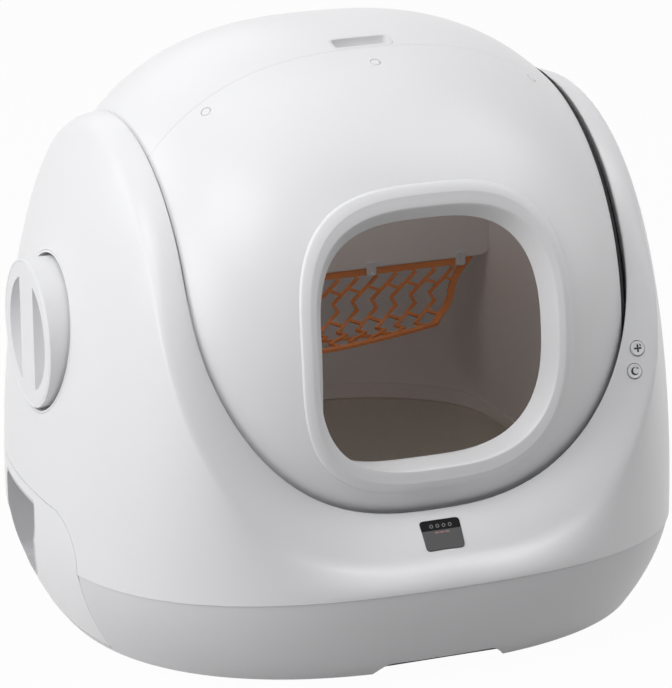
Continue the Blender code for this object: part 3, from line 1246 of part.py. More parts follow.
def make_bag_ring(left):
    """A flat frame just under the tub's mouth, which holds a bag's rim."""
    lip = tub_lip(TUB_WALL)
    run = (TUB_REAR_TOP - lip).length
    wall = TUB_WALL + FIT_GAP
    right = TUB_RIGHT_X - wall
    low = -RING_HEIGHT - RING_DROP
    ring = block("bag_ring", (left, RING_BAR / 3, low), (right, run, -RING_DROP))
    opening = block("bag_ring_opening", (-right + RING_BAR * 2, RING_BAR * 2, low - OVERRUN),
                    (right - RING_BAR, run - RING_BAR * 2, OVERRUN))
    turn = Matrix(((1.0, 0.0, 0.0), (0.0, MOUTH_RUN.x, MOUTH_OUT.x), (0.0, MOUTH_RUN.y, MOUTH_OUT.y))).to_4x4()
    for piece in (ring, opening):
        piece.data.transform(Matrix.Translation((0.0, lip.x, lip.y)) @ turn)
    cut(ring, opening)
    space = prism("ring_space", tub_outline(wall, True), "YZ", left, right)
    keep(ring, keep(space, body_core("ring_core", DRAWER_SKIN + wall + FIT_GAP * 2)))
    return paint(ring, DARK_GREY, 0.5)


def make_rear_cover():
    cover = prism("rear_cover", cover_outline(0.0), "XZ", 0.0, BODY_REAR + OVERRUN)
    keep(cover, body_core("cover_outer_core", 0.0))
    cut(cover, body_core("cover_inner_core", BODY_WALL))
    board_y = CONTROL_BOARD_Y + BOARD_THICKNESS + FIT_GAP
    post_z = (CONTROL_LOW_Z + CONTROL_TOP_Z) / 2
    for name, side in (("left", -1), ("right", 1)):
        place = (side * (CONTROL_HALF_WIDTH - COVER_POST_RADIUS * 2), board_y, post_z)
        add(cover, cylinder("cover_post_" + name, COVER_POST_RADIUS, 0.0, BODY_REAR - board_y - COVER_CORNER,
                            place, (0.0, 1.0, 0.0), 16))
    jack_place = (JACK_X, BODY_REAR, JACK_Z)
    cut(cover, cylinder("jack_hole", JACK_RADIUS + FIT_GAP, -OVERRUN * 3, OVERRUN, jack_place, (0.0, 1.0, 0.0), 24))
    paint(cover, WHITE, 0.4)
    board = block("control_board", (-CONTROL_HALF_WIDTH, CONTROL_BOARD_Y, CONTROL_LOW_Z),
                  (CONTROL_HALF_WIDTH, CONTROL_BOARD_Y + BOARD_THICKNESS, CONTROL_TOP_Z))
    paint(board, GREEN, 0.6)
    jack = cylinder("power_jack", JACK_RADIUS, -JACK_LENGTH * 2, OVERRUN, jack_place, (0.0, 1.0, 0.0), 24)
    keep(jack, body_core("jack_core", FIT_GAP))
    cut(jack, cylinder("jack_bore", JACK_BORE, -JACK_LENGTH, OVERRUN * 2, jack_place, (0.0, 1.0, 0.0), 16))
    return paint(jack, BLACK, 0.4)


clear_scene()
FRAME = bpy.data.objects.new("drum_axis", None)
FRAME.location = AXIS_POINT
bpy.context.collection.objects.link(FRAME)

make_drum_shells()
make_bezel()
make_handle_cup()
make_end_caps()
make_gears()
make_motor()
make_divider()
make_sieve()
make_liner()
make_cradle()
make_skirt()
make_base_plate()
make_basin()
make_arm_panels()
make_knob()
make_knob_well()
make_drawer_front()
make_tub()
make_rear_cover()
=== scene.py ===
import bpy
import bmesh
import json
import math
from mathutils import Matrix, Vector
from mathutils.geometry import delaunay_2d_cdt


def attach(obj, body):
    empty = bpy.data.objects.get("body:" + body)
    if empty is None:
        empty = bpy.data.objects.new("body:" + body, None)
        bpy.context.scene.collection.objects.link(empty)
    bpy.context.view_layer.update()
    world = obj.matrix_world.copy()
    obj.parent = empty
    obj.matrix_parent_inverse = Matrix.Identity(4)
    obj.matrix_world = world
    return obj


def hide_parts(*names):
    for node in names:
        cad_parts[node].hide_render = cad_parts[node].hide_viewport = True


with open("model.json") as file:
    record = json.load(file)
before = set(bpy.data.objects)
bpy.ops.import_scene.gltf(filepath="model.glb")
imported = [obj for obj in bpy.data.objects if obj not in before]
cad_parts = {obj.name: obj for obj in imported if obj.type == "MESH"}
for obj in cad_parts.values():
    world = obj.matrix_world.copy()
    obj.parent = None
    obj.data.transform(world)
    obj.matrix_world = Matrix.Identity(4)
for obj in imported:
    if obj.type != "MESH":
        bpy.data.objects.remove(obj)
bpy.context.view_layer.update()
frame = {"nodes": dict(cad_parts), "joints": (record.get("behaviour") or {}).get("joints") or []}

MM = 0.001

# Shapes are made in the drum's frame, zero at the drum's centre and X along its axis, in metres
DRUM_TURN = next(j for j in frame["joints"] if j["name"] == "drum_turn")
AXIS_POINT = Vector(DRUM_TURN["pos_m"])
X_AXIS = Vector((1.0, 0.0, 0.0))
Z_AXIS = Vector((0.0, 0.0, 1.0))

# Drum
DRUM_RADIUS = 250.0 * MM
DRUM_REACH = 252.4 * MM
DRUM_ROUND_POWER = 2.24
DRUM_SIDE_POWER = 2.53
DRUM_HALF_LENGTH = 187.0 * MM
DRUM_WALL = 3.0 * MM
SHELL_SEAM_Y = -76.0 * MM
SEAM_GAP = 0.4 * MM
SEAM_LINE = 0.24 * MM
DRUM_SEGMENTS = 192
DRUM_STEPS = 44

# Entrance
ENTRANCE_TILT = math.radians(6.0)
ENTRANCE_POWER = 3.0
BEZEL_HALF_WIDTH = 121.0 * MM
BEZEL_HALF_HEIGHT = 129.0 * MM
BEZEL_SEAT = 0.7 * MM
THROAT_HALF_WIDTH = 98.0 * MM
THROAT_HALF_HEIGHT = 100.3 * MM
THROAT_SINK = 1.9 * MM
THROAT_DEPTH = 20.0 * MM
THROAT_CORNER_POWER = 5.0
COLLAR_INSET = 9.0 * MM
BEZEL_SEGMENTS = 160
BEZEL_SMOOTH_ANGLE = 50.0
SIEVE_SMOOTH_ANGLE = 30.0
LINING_SMOOTH_ANGLE = 60.0
THROAT_STEPS = 6
# The collar's face, ring by ring, in mm: in from its sides, in from its top, and off the drum
BEZEL_FACE = (
    (0.0, 0.0, BEZEL_SEAT / MM), (0.0, 0.0, 1.5), (0.35, 0.35, 2.3), (0.9, 0.9, 2.8), (1.5, 1.5, 3.0),
    (4.5, 4.6, 3.0), (7.6, 8.1, 2.75), (8.0, 8.6, 2.65), (8.4, 9.0, 2.45), (10.8, 13.6, 0.85),
    (13.0, 17.8, -0.75), (13.4, 18.4, -1.05), (13.7, 18.9, -1.45),
)
# How the throat's end flares, in mm: outwards, and along its depth
THROAT_END = ((0.3, -0.5), (1.2, -1.0), (2.6, -0.5))

# Handle recess and plugs
HANDLE_WIDTH = 54.0 * MM
HANDLE_LENGTH = 18.0 * MM
HANDLE_DEPTH = 13.0 * MM
HANDLE_WALL = 1.6 * MM
HANDLE_CORNER = 5.0 * MM
HANDLE_SHELF_DEPTH = 2.4 * MM
HANDLE_SLOT_LENGTH = 6.5 * MM
HANDLE_SLOT_CORNER = HANDLE_SLOT_LENGTH / 2.2
HANDLE_SCREW_RADIUS = 1.3 * MM
HANDLE_SCREW_SEGMENTS = 24
HANDLE_SCREW_LOW = -0.2 * MM
HANDLE_SCREW_HIGH = 0.15 * MM
HANDLE_SCREW_X_SHARE = 0.27
HANDLE_SCREW_Y_SHARE = 0.62
PLUG_RADIUS = 4.0 * MM
PLUG_SEAT_GAP = 0.5 * MM
PLUG_THICKNESS = 1.8 * MM
PLUG_EDGE = 0.6 * MM
PLUG_SEGMENTS = 40
PLUG_BEFORE_SEAM = 12.0 * MM
MIDDLE_PLUG_BEFORE_SEAM = 21.5 * MM
PLUG_SIDE_X = 148.0 * MM

# Inside the drum
DIVIDER_Y = 81.0 * MM
DIVIDER_LOW = -4.0 * MM
DIVIDER_THICKNESS = 4.0 * MM
DIVIDER_TOP = 110.0 * MM
DIVIDER_CORNER = 14.0 * MM
SIEVE_HALF_WIDTH = 168.0 * MM
SIEVE_THICKNESS = 2.6 * MM
SIEVE_DROP = 40.0 * MM
SIEVE_BEND = 14.0 * MM
SIEVE_TRAY = 45.0 * MM
SIEVE_RIM = 6.0 * MM
SIEVE_BAR = 2.6 * MM
SIEVE_PITCH = 18.9 * MM
SIEVE_PERIOD = 29.3 * MM
SIEVE_FIRST_TURN = 8.6 * MM
SIEVE_FIRST_BAR_X = 54.3 * MM
# A bar leans from each right hand turn to the next left hand turn, and links join the leaning stretches
BAR_LEAN_SHARE = -1.25
BAR_FALL_SHARE = 0.72
LINK_START_SHARE = 0.38
LINK_END_SHARE = 0.65
# The sheet's end, as shares of its half width and its depth
SIEVE_END_SHARES = ((1.0, 0.0), (0.925, 0.145), (0.895, 0.25), (0.885, 0.34), (0.855, 0.44),
                    (0.80, 0.515))
SIEVE_BOTTOM_START_SHARE = 0.74
SIEVE_BOTTOM_STEPS = 48
SIEVE_BEND_STEPS = 6
# The bottom edge: how far it rises to the sides, how round its middle is, and how its corners turn up
SIEVE_RISE_SHARE = 0.5
SIEVE_MIDDLE_ROUND = 0.12
SIEVE_CORNER_REACH = 0.93
SIEVE_CORNER_POWER = 6
SIEVE_ROWS = range(-1, 4)
SHARPEST_TURN = 0.4
MERGE_DISTANCE = 1e-7
CUT_DISTANCE = 1e-6
CLIP_PLACES_SHARES = (-0.92, -0.40, 0.40, 0.92)
CLIP_WIDTH = 9.0 * MM
CLIP_HEIGHT = 13.0 * MM
CLIP_THICKNESS = 2.0 * MM
CLIP_CORNER = 2.0 * MM
SLIT_HALF_WIDTH = 0.9 * MM
SLIT_CORNER = 0.8 * MM
SLIT_END = 2 * MM
LINER_TOP_Z = -158.0 * MM
LINER_WALL = 2.2 * MM
LINER_END_RISE = 4 * LINER_WALL
LINING_START_X = 157.0 * MM
LINING_END_X = 183.4 * MM
LINING_FILLET = 26.0 * MM
LINING_THICKNESS = 0.5 * MM
LINING_GAP = 0.1 * MM
LINING_STEPS = 14
LEDGE_HEIGHT = 11.0 * MM
END_RIM_X = 195.5 * MM
CAP_THICKNESS = 2.5 * MM
END_HUB_RADIUS = 40.0 * MM
END_HUB_STEP = 3.0 * MM
STUB_RADIUS = 24.0 * MM
STUB_LENGTH = 34.0 * MM
SOCKET_RADIUS = 10.4 * MM
SOCKET_DEPTH = 18.0 * MM

# Cradle
BODY_HALF_WIDTH = 282.0 * MM
BODY_FRONT = 265.0 * MM
BODY_REAR = 325.0 * MM
BODY_FRONT_POWER = 2.56
BODY_REAR_POWER = 2.36
PARTING_Z = -188.0 * MM
PARTING_FRONT_RISE = 7.0 * MM
PARTING_RISE_POWER = 3
BODY_WALL = 3.0 * MM
PARTING_GAP = 0.5 * MM
SKIRT_STEP = 0.9 * MM
SKIRT_HALF_WIDTH = 255.0 * MM
SKIRT_FRONT = 232.0 * MM
SKIRT_REAR = 290.0 * MM
SKIRT_POWER = 2.42
SKIRT_BOTTOM_Z = -262.0 * MM
SKIRT_BULGE_SHARE = 0.06
NOTCH_TOP_HALF = 49.0 * MM
NOTCH_FOOT_HALF = 60.0 * MM
NOTCH_HEIGHT = 10.0 * MM
NOTCH_FOOT_ROUND = 3.0 * MM
NOTCH_TOP_ROUND = 6.0 * MM
RIM_HALF_WIDTH = 197.0 * MM
RIM_POWER = 2.7
RIM_SIDE_ANGLE = math.radians(30.0)
RIM_FRONT_ANGLE = math.radians(-29.4)
RIM_REAR_ANGLE = math.radians(-8.0)
DRUM_GAP = 5.0 * MM
RIM_LIP = 7.0 * MM
ARM_LIP_POWER = 20
BAND_ROWS = 6
BAND_STEP = math.radians(1.0)
EDGE_STEPS = 4
CREASE_STEPS = 6
BAND_SIDE_WIDTH = 24.0 * MM
BAND_CORNER_WIDTH = 20.0 * MM
BAND_FRONT_REACH = 43.0 * MM
BAND_SIDE_REACH = -8.0 * MM
BAND_REACH_POWER = 1.3
BAND_FRONT_DROP = 16.0 * MM
BAND_CORNER_DROP = 34.0 * MM
BAND_CROWN = 1.6 * MM
EDGE_ROUND = 2.0 * MM
CREASE_ROUND = 6.0 * MM
SIDE_OUT_SHARE = 0.575
SIDE_DOWN_SHARE = 0.174
SIDE_IN_SHARE = -0.05
SIDE_UP_SHARE = 0.42
SIDE_STEPS = 18
SKIRT_STEPS = 10
FRONT_STATIONS = 36
ARM_STATIONS = 30

# Lock knob
KNOB_RADIUS = 64.0 * MM
KNOB_HEIGHT = 27.0 * MM
KNOB_EDGE = 1.6 * MM
KNOB_WALL = 3.0 * MM
KNOB_BAR_HALF = 18.0 * MM
KNOB_RECESS_RADIUS = 49.0 * MM
KNOB_RECESS_DEPTH = 11.0 * MM
KNOB_GROOVE_RADIUS = 61.2 * MM
KNOB_GROOVE = 0.5 * MM
KNOB_WELL_RADIUS = 69.0 * MM
KNOB_WELL_WALL = 2.0 * MM
KNOB_WELL_FLOOR_X = -248.0 * MM
SPINDLE_BORE = 10.35 * MM
KNOB_SEGMENTS = 144
KNOB_RECESS_STEPS = 40
KNOB_HOLE_DEPTH = 48.0 * MM
WELL_SEGMENTS = 128
WELL_FOOT = 2 * MM

# Drawer
DRAWER_FRONT_Y = -94.5 * MM
DRAWER_REAR_Y = 262.0 * MM
DRAWER_TOP_Z = -141.0 * MM
DRAWER_BOTTOM_Z = -258.4 * MM
DRAWER_FRONT_CORNER = 42.0 * MM
DRAWER_REAR_CORNER = 22.0 * MM
DRAWER_CORNER_STEPS = 14
DRAWER_GAP = 0.7 * MM
DRAWER_SKIN = 3.5 * MM
GRIP_FRONT_Y = -4.0 * MM
GRIP_REAR_Y = 106.0 * MM
GRIP_TOP_Z = -151.0 * MM
GRIP_LOW_Z = -239.0 * MM
GRIP_FLOOR_X = -243.0 * MM
GRIP_WALL = 2.5 * MM
GRIP_CORNER = 16.0 * MM
GRIP_TOP_CORNER = 6.0 * MM
GRIP_SLANT_REACH = 36.0 * MM
GRIP_SLANT_HEIGHT = 58.0 * MM
GRIP_SLANT_ROUND = 70.0 * MM

# Controls
LENS_WIDTH = 36.0 * MM
LENS_LOW_WIDTH = 34.0 * MM
LENS_HEIGHT = 26.5 * MM
LENS_THICKNESS = 2.4 * MM
LENS_CORNER = 4.0 * MM
LENS_BAND_SHARE = 0.52
LENS_STRIP_LOW = 4.2 * MM
LENS_STRIP_HIGH = 3.9 * MM
ICON_COUNT = 4
ICON_SEGMENTS = 28
ICON_PITCH = 5.6 * MM
ICON_RISE = 7.8 * MM
ICON_INNER_RADIUS = 1.1 * MM
ICON_OUTER_RADIUS = 1.55 * MM
BAR_COUNT = 3
BAR_PITCH = 4.6 * MM
BAR_RISE = 2.0 * MM
BAR_HALF_LENGTH = 1.9 * MM
BAR_HALF_HEIGHT = 0.75 * MM
BAR_CORNER = 0.5 * MM
LENS_MARK_LOW = -0.1 * MM
LENS_MARK_HIGH = 0.04 * MM
BUTTON_RADIUS = 6.6 * MM
BUTTON_PROUD = 1.2 * MM
BUTTON_LENGTH = 6.0 * MM
BUTTON_ANGLES = (math.radians(-1.75), math.radians(-6.0))
BUTTON_BAND_SHARES = (0.44, 0.48)
BUTTON_GROOVE = 0.75 * MM
BUTTON_SEGMENTS = 64
# The button's dished face: mm below its highest ring, and the share of its radius
BUTTON_FACE = ((0.45, 0.0), (0.42, 0.55), (0.2, 0.74), (0.0, 0.84), (0.0, 0.90), (0.25, 0.97), (0.7, 1.0))
BUTTON_MARK_LOW = 0.6 * MM
BUTTON_MARK_HIGH = 0.3 * MM
PETAL_RADIUS = 3.6 * MM
PETAL_MIDDLE_SHARE = 0.62
PETAL_WAVE_SHARE = 0.38
CRESCENT_RADIUS = 3.5 * MM
CRESCENT_OUTER_TURNS = (60, 330)
CRESCENT_INNER_TURNS = (312, 88)
CRESCENT_INNER_SHARE = 0.78
CRESCENT_SHIFT_SHARES = (0.32, 0.12)
SPOT_RADIUS = 1.0 * MM
SPOT_SEGMENTS = 32
SPOT_PLACE = (2.8 * MM, 2.7 * MM)
RUNNING_GAP = 0.35 * MM
FIT_GAP = 0.3 * MM

# Rear cover
COVER_HALF_WIDTH = 92.0 * MM
COVER_LOW_Z = -160.0 * MM
COVER_TOP_Z = -84.0 * MM
COVER_CORNER = 10.0 * MM
COVER_GAP = 0.5 * MM
JACK_X = 60.0 * MM
JACK_Z = -122.0 * MM
JACK_RADIUS = 5.4 * MM
VENT_COUNT = 9
VENT_PITCH = 6.0 * MM
VENT_HALF_WIDTH = 1.1 * MM
VENT_HALF_HEIGHT = 15.0 * MM
VENT_X = -52.0 * MM
VENT_ROUND_SHARE = 0.98

OVERRUN = 30.0 * MM

# How wide the edges are rounded, and the angle in degrees over which an edge of a curved piece is one
HANDLE_EDGE = 0.7 * MM
SIEVE_EDGE = 0.35 * MM
DIVIDER_EDGE = 1.4 * MM
CLIP_EDGE = 0.6 * MM
LINER_BEVEL = 0.7 * MM
LEDGE_BEVEL = 0.5 * MM
KNOB_BEVEL = 1.1 * MM
GRIP_BEVEL = 1.2 * MM
LENS_EDGE = 0.4 * MM
NODE_EDGE = 0.6 * MM
SHARP_ONLY = 60.0

# Camera, found by fitting the drum's round form and the rims to the photograph
CAMERA_AZIMUTH = math.radians(-21.52)
CAMERA_ELEVATION = math.radians(16.38)
CAMERA_ROLL = math.radians(-0.61)
CAMERA_DISTANCE = 3.4
CAMERA_FOCAL_PIXELS = 3878.5
IMAGE_WIDTH = 672
IMAGE_HEIGHT = 688
DRUM_PIXEL = (335.07, 295.8)
SENSOR = 36.0
CAMERA_CLIP = (0.1, 50.0)

# Floor and light. The camera sees the floor and the sky nearly white, whatever light they give
FLOOR_REACH = 12.0
FLOOR_BASE = (0.48, 0.48, 0.48, 1.0)
FLOOR_ROUGHNESS = 0.9
FLOOR_WHITE_SHARE = 0.97
SKY_STRENGTH = 0.04
SKY_LOW = 0.2
SKY_RISE = (-0.1, 0.5)
PURE_WHITE = (1.0, 1.0, 1.0, 1.0)
LAMP_AIM = (0.0, 0.0, 0.25)
# Each lamp's name, place, size, power and aim. The last lifts the inside a little, as in the photograph
LAMPS = (
    ("key_top_left", (-1.9, -1.0, 2.3), (1.5, 1.5), 30.0, LAMP_AIM),
    ("top", (0.0, 0.0, 3.0), (2.4, 2.4), 22.0, LAMP_AIM),
    ("top_right", (1.7, -0.8, 2.4), (1.5, 1.5), 21.0, LAMP_AIM),
    ("left", (-2.8, -0.5, 0.9), (1.6, 1.4), 28.0, LAMP_AIM),
    ("front_top", (0.0, -2.4, 2.1), (1.8, 1.5), 7.5, LAMP_AIM),
    ("left_back", (-2.4, 1.2, 1.6), (1.4, 1.4), 12.0, LAMP_AIM),
    ("right", (2.8, -0.8, 1.1), (1.4, 1.4), 6.5, LAMP_AIM),
    ("back_top", (-0.2, 2.4, 2.0), (1.8, 1.5), 5.0, LAMP_AIM),
    ("inside", (0.0, -0.02, 0.47), (0.22, 0.1), 0.085, (0.0, 0.02, 0.1)),
)


# Materials

# Where Blender's Mix node keeps its colour sockets
MIX_LOW, MIX_HIGH, MIX_RESULT = 6, 7, 2


def wire(tree, node, values=None, links=None):
    """Sets a node's inputs, by name or place, and links outputs to them."""
    for key, value in (values or {}).items():
        node.inputs[key].default_value = value
    for key, source in (links or {}).items():
        tree.links.new(source, node.inputs[key])
    return node


def add_node(tree, kind, values=None, links=None):
    return wire(tree, tree.nodes.new("ShaderNode" + kind), values, links)


def colour_mix(tree, factor, low, high):
    mix = add_node(tree, "Mix")
    mix.data_type = "RGBA"
    wire(tree, mix, {MIX_LOW: low, MIX_HIGH: high}, {"Factor": factor})
    return mix.outputs[MIX_RESULT]


class Finish:
    """A material with a Principled shader, built up one feature at a time."""

    def __init__(self, name, colour, roughness, metallic=0.0, specular=0.5):
        self.mat = bpy.data.materials.new(name)
        self.mat.use_nodes = True
        self.tree = self.mat.node_tree
        self.shader = self.tree.nodes["Principled BSDF"]
        self.colour = (*colour, 1.0)
        self.roughness = roughness
        wire(self.tree, self.shader, {"Base Color": self.colour, "Roughness": roughness,
                                      "Metallic": metallic, "Specular IOR Level": specular})
        self.mat.diffuse_color = self.colour
        self.coordinates = add_node(self.tree, "TexCoord").outputs["Object"]
        self.last_bump = None

    def drive(self, name, source):
        """Links an output to one of the shader's inputs."""
        self.tree.links.new(source, self.shader.inputs[name])

    def noise(self, scale, detail=2.0, roughness=0.5, stretch=None):
        source = self.coordinates
        if stretch:
            source = add_node(self.tree, "Mapping", {"Scale": stretch}, {"Vector": source}).outputs["Vector"]
        values = {"Scale": scale, "Detail": detail, "Roughness": roughness}
        return add_node(self.tree, "TexNoise", values, {"Vector": source}).outputs["Fac"]

    def vary_colour(self, fac, share):
        """Lets the colour drift by a share, up and down."""
        low, high = ([min(1.0, c * (1 + s)) for c in self.colour[:3]] + [1.0] for s in (-share, share))
        self.drive("Base Color", colour_mix(self.tree, fac, low, high))

    def vary_roughness(self, fac, spread_by):
        limits = {"To Min": self.roughness - spread_by, "To Max": self.roughness + spread_by}
        self.drive("Roughness", add_node(self.tree, "MapRange", limits, {"Value": fac}).outputs["Result"])

    def bump(self, fac, strength, distance):
        links = {"Height": fac}
        if self.last_bump:
            links["Normal"] = self.last_bump
        node = add_node(self.tree, "Bump", {"Strength": strength, "Distance": distance}, links)
        self.last_bump = node.outputs["Normal"]
        self.drive("Normal", self.last_bump)


def moulded(name, colour, roughness, grain=0.05, tint=0.012):
    """Moulded plastic: a fine spark eroded grain, a slight flow waviness and small colour drift."""
    finish = Finish(name, colour, roughness)
    fine, broad = finish.noise(scale=1500.0), finish.noise(scale=9.0, detail=3.0)
    finish.vary_colour(broad, tint)
    finish.vary_roughness(finish.noise(scale=60.0, detail=4.0), roughness * 0.08)
    finish.bump(broad, strength=0.02, distance=0.4 * MM)
    finish.bump(fine, strength=grain, distance=0.05 * MM)
    return finish.mat


def brushed(name, colour, roughness, stretch):
    finish = Finish(name, colour, roughness, metallic=1.0)
    lines = finish.noise(scale=90.0, detail=4.0, roughness=0.6, stretch=stretch)
    finish.vary_colour(lines, 0.12)
    finish.vary_roughness(lines, roughness * 0.3)
    finish.bump(lines, strength=0.12, distance=0.05 * MM)
    return finish.mat


def speckled(name, colour, roughness, scale, share, grain):
    """A rubbery or gritty surface with visible specks."""
    finish = Finish(name, colour, roughness)
    specks = finish.noise(scale, detail=5.0, roughness=0.65)
    finish.vary_colour(specks, share)
    finish.vary_roughness(specks, roughness * 0.1)
    finish.bump(specks, strength=grain, distance=0.2 * MM)
    return finish.mat


def circuit(name):
    finish = Finish(name, (0.02, 0.13, 0.05), 0.45)
    tracks = add_node(finish.tree, "TexBrick", {
        "Scale": 190.0, "Color1": (0.02, 0.14, 0.06, 1.0), "Color2": (0.015, 0.10, 0.04, 1.0),
        "Mortar": (0.10, 0.26, 0.10, 1.0), "Mortar Size": 0.03}, {"Vector": finish.coordinates})
    finish.drive("Base Color", tracks.outputs["Color"])
    finish.bump(tracks.outputs["Fac"], strength=0.3, distance=0.05 * MM)
    return finish.mat


WHITE = moulded("white_satin", (0.80, 0.80, 0.815), 0.34)
WHITE_TRIM = moulded("white_trim_satin", (0.79, 0.79, 0.805), 0.36)
SKIRT_GREY = moulded("skirt_satin", (0.72, 0.72, 0.735), 0.40)
INNER_GREY = moulded("inner_grey", (0.62, 0.62, 0.63), 0.5, 0.09, 0.02)
DRUM_INNER = moulded("drum_inner_warm", (0.84, 0.80, 0.785), 0.48, 0.08, 0.02)
# The drawer grip's cup is a darker grey than the white: painted shade of the scoop, which faces down and back
GRIP_PAINTED_SHADE = moulded("grip_painted_shade", (0.60, 0.60, 0.61), 0.5, 0.12, 0.02)
# The liner is a darkened taupe: the darkening is painted shade of the drum's inside
LINER = speckled("liner_taupe_painted_shade", (0.62, 0.575, 0.51), 0.75, 420.0, 0.08, 0.25)
LINER_EDGE = moulded("liner_edge", (0.82, 0.77, 0.74), 0.5, 0.08, 0.02)
BLACK = moulded("gear_black", (0.006, 0.006, 0.0065), 0.85, 0.1, 0.05)
DARK = moulded("dark_grey", (0.10, 0.10, 0.105), 0.55, 0.12, 0.03)
ORANGE = moulded("sieve_orange", (0.88, 0.31, 0.10), 0.45, 0.08, 0.02)
RUBBER = speckled("foot_rubber", (0.02, 0.02, 0.021), 0.85, 900.0, 0.2, 0.3)
BOARD = circuit("board_green")
STEEL_X = brushed("steel_along_x", (0.58, 0.58, 0.60), 0.32, (0.05, 1.0, 1.0))
STEEL_Y = brushed("steel_plate", (0.60, 0.60, 0.62), 0.35, (1.0, 0.05, 1.0))
GLYPH = moulded("glyph_dark", (0.012, 0.012, 0.013), 0.5)
GLYPH_DIM = moulded("glyph_dim", (0.30, 0.30, 0.31), 0.4)
GLOW = moulded("glow_dim", (0.30, 0.16, 0.13), 0.4)


# Mesh building

def smooth(mesh, angle=35.0):
    mesh.shade_smooth()
    mesh.set_sharp_from_angle(angle=math.radians(angle))


def add_object(name, data):
    obj = bpy.data.objects.new(name, data)
    bpy.context.scene.collection.objects.link(obj)
    return obj


def new_mesh(name, verts, faces, material=None):
    mesh = bpy.data.meshes.new(name)
    mesh.from_pydata([tuple(v) for v in verts], [], faces)
    work = bmesh.new()
    work.from_mesh(mesh)
    bmesh.ops.recalc_face_normals(work, faces=work.faces)
    work.to_mesh(mesh)
    work.free()
    mesh.transform(Matrix.Translation(AXIS_POINT))
    smooth(mesh)
    if material:
        mesh.materials.append(material)
    return add_object(name, mesh)


def full_turns(count):
    return [2 * math.pi * k / count for k in range(count)]


def arc(centre, radius, turns):
    return [(centre[0] + radius * math.cos(t), centre[1] + radius * math.sin(t)) for t in turns]


def grid_faces(rows, count, wrap_rows):
    """The faces between rings of points, each ring closed in itself."""
    faces = []
    for i in range(rows if wrap_rows else rows - 1):
        for j in range(count):
            n, m = (i + 1) % rows, (j + 1) % count
            faces.append((i * count + j, i * count + m, n * count + m, n * count + j))
    return faces


def loft(name, rings, material=None, cap=True):
    count = len(rings[0])
    verts = [p for ring in rings for p in ring]
    faces = grid_faces(len(rings), count, not cap)
    if cap:
        faces += [tuple(range(count)), tuple(range(len(verts) - count, len(verts)))]
    return new_mesh(name, verts, faces, material)


def turned_rings(profile, segments):
    """A ring round X for each point (x, radius)."""
    return [[(x, r * math.cos(t), r * math.sin(t)) for t in full_turns(segments)] for x, r in profile]


def turned(name, profile, segments, material=None, hollow=False):
    """A solid turned about X from points (x, radius). It starts and ends on the axis unless it is hollow."""
    if hollow:
        return loft(name, turned_rings(profile, segments), material, cap=False)
    rings = turned_rings([p for p in profile if p[1] > 0], segments)
    verts = [p for ring in rings for p in ring]
    faces = grid_faces(len(rings), segments, False)
    ends = (profile[0][0], profile[-1][0])
    for end, first in zip(ends, (0, len(verts) - segments)):
        centre = len(verts)
        verts.append((end, 0.0, 0.0))
        faces += [(first + k, first + (k + 1) % segments, centre) for k in range(segments)]
    return new_mesh(name, verts, faces, material)


def prism(name, outline, plane, low, high, material=None):
    place = {"YZ": lambda p, t: (t, p[0], p[1]), "XZ": lambda p, t: (p[0], t, p[1]),
             "XY": lambda p, t: (p[0], p[1], t)}[plane]
    return loft(name, [[place(p, t) for p in outline] for t in (low, high)], material)


def spread(low, high, steps):
    return [low + (high - low) * k / steps for k in range(steps + 1)]


def rounded_outline(low, high, corner, steps=8):
    points = []
    centres = ((high[0] - corner, high[1] - corner), (low[0] + corner, high[1] - corner),
               (low[0] + corner, low[1] + corner), (high[0] - corner, low[1] + corner))
    for quarter, centre in enumerate(centres):
        points += arc(centre, corner, [(quarter + k / steps) * math.pi / 2 for k in range(steps + 1)])
    return points


def rounded_corner(before, corner, after, steps):
    return [before * (1 - t) ** 2 + corner * 2 * t * (1 - t) + after * t * t for t in spread(0.0, 1.0, steps)]


def filleted(points, radii, steps=5):
    """A profile of (x, y) points whose corners are rounded, each by its own radius."""
    out = [points[0]]
    for before, corner, after, radius in zip(points, points[1:], points[2:], radii):
        a, b, c = Vector(before), Vector(corner), Vector(after)
        reach = min(radius, (a - b).length / 2, (c - b).length / 2)
        if reach <= 0:
            out.append(corner)
            continue
        start, end = b + (a - b).normalized() * reach, b + (c - b).normalized() * reach
        out += [tuple(p) for p in rounded_corner(start, b, end, steps)]
    return out + [points[-1]]


def mirrored(points):
    """Flat points on the other side of the middle, from their last to their first."""
    return [Vector((-p.x, p.y)) for p in reversed(points)]


def block(name, low, high):
    outline = [(low[0], low[1]), (high[0], low[1]), (high[0], high[1]), (low[0], high[1])]
    return prism(name, outline, "XY", low[2], high[2])


def shaped(obj, operation, tools):
    """Applies Boolean cuts, and removes the cutters."""
    for tool in tools:
        step = obj.modifiers.new(tool.name, "BOOLEAN")
        step.operation = operation
        step.solver = "EXACT"
        step.object = tool
    materials = list(obj.data.materials)
    mesh = bpy.data.meshes.new_from_object(obj.evaluated_get(bpy.context.evaluated_depsgraph_get()))
    obj.modifiers.clear()
    obj.data = mesh
    mesh.materials.clear()
    for material in materials:
        mesh.materials.append(material)
    for tool in tools:
        bpy.data.objects.remove(tool, do_unlink=True)
    smooth(mesh)
    return obj


def cut(obj, *tools):
    return shaped(obj, "DIFFERENCE", tools)


def keep(obj, *tools):
    return shaped(obj, "INTERSECT", tools)


def soften(obj, width, segments=3, angle=50.0):
    """Rounds the edges sharper than an angle."""
    bevel = obj.modifiers.new("soften", "BEVEL")
    bevel.limit_method = "ANGLE"
    bevel.angle_limit = math.radians(angle)
    bevel.width = width
    bevel.segments = segments
    bevel.harden_normals = False
    return obj


def move_shape(obj, turn, place):
    """Turns a shape made round zero, and moves it to a place."""
    obj.data.transform(Matrix.Translation(AXIS_POINT + place) @ turn @ Matrix.Translation(-AXIS_POINT))
    return obj


